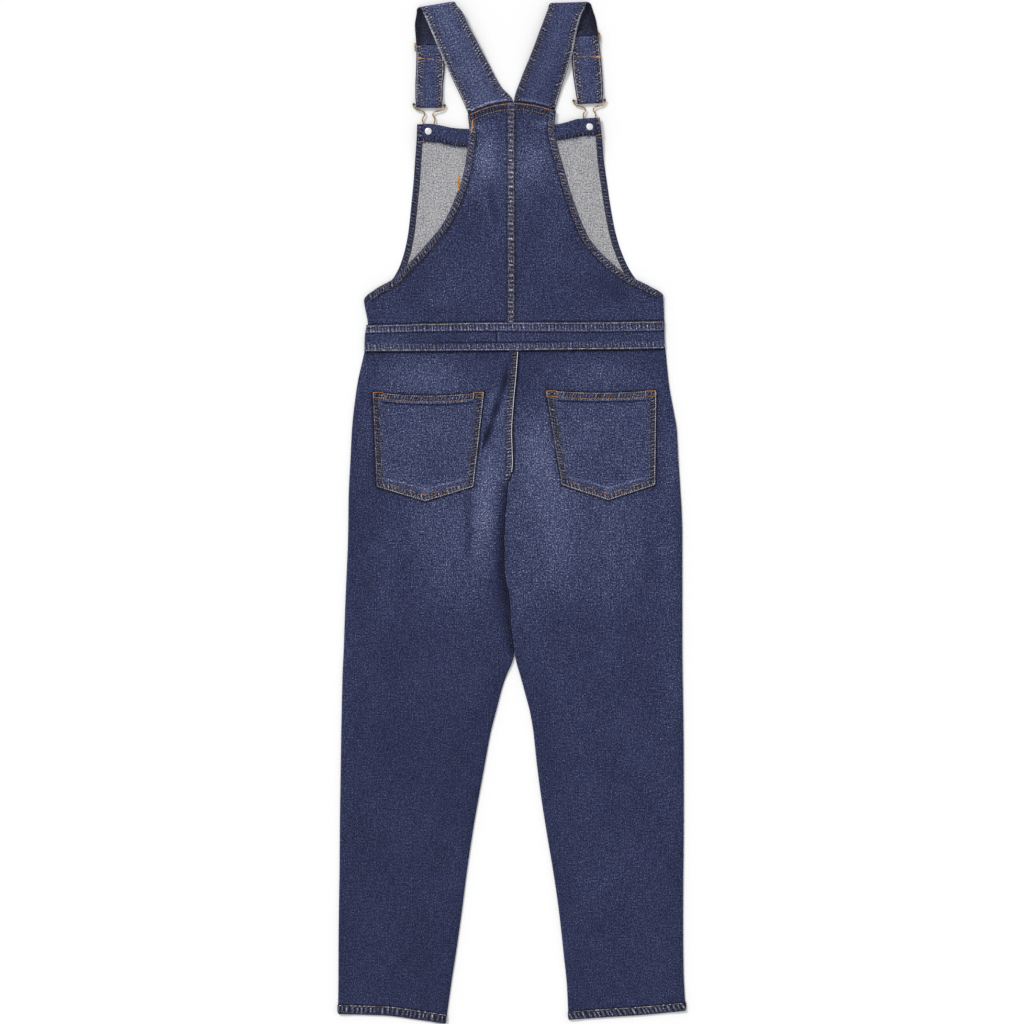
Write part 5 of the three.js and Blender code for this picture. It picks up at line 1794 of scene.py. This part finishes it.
def closed_tube(path, half_width, half_height, sides=12):
    ahead = np.roll(path, -1, axis=0) - np.roll(path, 1, axis=0)
    ahead /= np.linalg.norm(ahead, axis=1)[:, None]
    side = np.cross(ahead, [0, 0, 1])
    x, z = bar_ring(half_width, half_height, sides)
    points = path[:, None] + side[:, None] * x[None, :, None] + np.array([0, 0, 1]) * z[None, :, None]
    count = len(path)
    faces = []
    for j in range(count):
        for k in range(sides):
            i, m = (j + 1) % count, (k + 1) % sides
            faces.append([j * sides + k, j * sides + m, i * sides + m, i * sides + k])
    return points.reshape(-1, 3), faces


def flat_tube(path, half_width, half_height, sides=12):
    points, faces = tube_mesh(path, 1.0, sides)
    ahead = path[-1] - path[0]
    ahead = ahead / np.linalg.norm(ahead)
    side = np.cross(ahead, [0, 0, 1])
    x, z = bar_ring(half_width, half_height, sides)
    grid = path[:, None] + side * x[None, :, None] + np.array([0, 0, 1]) * z[None, :, None]
    return grid.reshape(-1, 3), faces


def button(side):
    x, y, _ = BUTTONS[side]
    profile = [
        (0, 0), (3.0, 0.0), (6.6, 0.02), (7.6, 0.12), (8.2, 0.45), (8.5, 0.9), (8.45, 1.35), (8.1, 1.75),
        (7.3, 2.0),
        (2.9, 2.0), (2.7, 2.2), (2.7, 4.3), (0, 4.35),
    ]
    piece = lathe(f"button_{side}", [(r * MM, h * MM) for r, h in profile], (x, y, 0), BRASS)
    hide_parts(f"button_{side}")
    return piece


def rivet(side, ground):
    x, y, _ = BUTTONS[side]
    radius = RIVET_WIDTH / 2
    profile = [
        (0, -0.3 * MM), (radius - 0.3 * MM, -0.3 * MM), (radius, 0.1 * MM), (radius - 0.1 * MM, 0.45 * MM),
        (radius - 0.7 * MM, 0.85 * MM), (radius * 0.6, 1.1 * MM), (radius * 0.3, 1.12 * MM), (0, 1.05 * MM),
    ]
    height = float(ground.at(x, y))
    piece = lathe(f"rivet_{side}", profile, (x, y, height), RIVET)
    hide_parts(f"rivet_{side}")
    return piece


# Camera, floor and light.

PIXEL = 1.38 * MM
PHOTO_SIDE = 1024
SENSOR = 36.0
LENS = 300.0


def make_camera():
    data = bpy.data.cameras.new("camera")
    data.sensor_width = SENSOR
    data.lens = LENS
    camera = bpy.data.objects.new("camera", data)
    camera.location = (0, 0, PHOTO_SIDE * PIXEL * LENS / SENSOR)
    bpy.context.scene.collection.objects.link(camera)
    bpy.context.scene.camera = camera


def make_floor():
    reach = 8.0
    mesh = bpy.data.meshes.new("floor")
    below = -0.15 * MM
    corners = [(-reach, -reach, below), (reach, -reach, below), (reach, reach, below), (-reach, reach, below)]
    mesh.from_pydata(corners, [], [(0, 1, 2, 3)])
    floor = bpy.data.objects.new("floor", mesh)
    bpy.context.scene.collection.objects.link(floor)
    n = Nodes("floor")
    coordinates = n.tree.nodes.new("ShaderNodeTexCoord").outputs["Object"]
    cloudy = n.weighted((n.noise(coordinates, (3, 3, 3)), 0.4), (0.5, 1.0))
    tone = n.ramp(cloudy, [(0.0, (248, 248, 248)), (1.0, (251, 251, 251))])
    mesh.materials.append(n.set(Base_Color=tone, Roughness=0.9))


def sun(name, place, power, angle):
    """A wide soft light that falls from a place towards the origin."""
    data = bpy.data.lights.new(name, "SUN")
    data.energy = power
    data.angle = math.radians(angle)
    light = bpy.data.objects.new(name, data)
    light.location = place
    x, y, z = place
    light.rotation_euler = (math.atan2(math.hypot(x, y), z), 0, math.atan2(x, -y))
    bpy.context.scene.collection.objects.link(light)


def make_light():
    world = bpy.data.worlds.new("studio")
    world.use_nodes = True
    world.node_tree.nodes["Background"].inputs["Color"].default_value = (1, 1, 1, 1)
    world.node_tree.nodes["Background"].inputs["Strength"].default_value = 0.7
    bpy.context.scene.world = world
    sun("key", (-1.3, 1.6, 1.7), 1.75, 14)
    bpy.context.scene.view_settings.view_transform = "Standard"


make_camera()
make_floor()
make_light()

for name in ("left", "right"):
    front_leg(name)
    back_leg(name)
for name in ("left", "right"):
    leg_hem(name)
seat_seam()
seat_fold_shade()
seat_pocket("left", 0.7)
seat_pocket("right", 1.9)
waistband_front()
bib, bib_edges = front_bib()
facing = bib_facing(bib)
bib_hems(bib, bib_edges)
bib_pocket()
back_bibs = {name: back_bib(name) for name in ("left", "right")}
bib_pieces = [piece for piece, _ in back_bibs.values()]
armholes = {name: armhole_hem(name, *back_bibs[name]) for name in ("left", "right")}
bib_centre_seam(bib_pieces, back_bibs["left"][1])
bib_top_hem(bib_pieces, back_bibs["left"][1], back_bibs["right"][1])
waistband(bib_pieces, [outline for _, outline in back_bibs.values()])
tops = [outline.top for _, outline in back_bibs.values()]
straps = {"left": strap("left", 0.9, tops), "right": strap("right", 2.7, tops)}
for name in ("left", "right"):
    hook(name)
    slider(name)
    button(name)
    rivet(name, Ground.of_pieces(facing))
on_facing = Ground.of_pieces(facing)
on_grey = Ground.of_pieces(bib)
row("orange", [(-0.1305, 0.511), (-0.1205, 0.511)], on_facing, gap=0.2 * MM, lift=1.6 * MM)
row("orange", [(0.1165, 0.5195), (0.1245, 0.5215)], on_facing, gap=0.2 * MM, lift=1.6 * MM)
row("ochre orange", [(0.1185, 0.5435), (0.1215, 0.5345)], on_facing, gap=0.3 * MM)
bartack("orange", (-0.0738, 0.4635), (-0.0738, 0.4435), on_grey, width=3.2 * MM)
bartack("orange", (-0.0541, 0.541), (-0.0558, 0.523), armholes["left"][2], width=1.6 * MM)
finish_stitches()
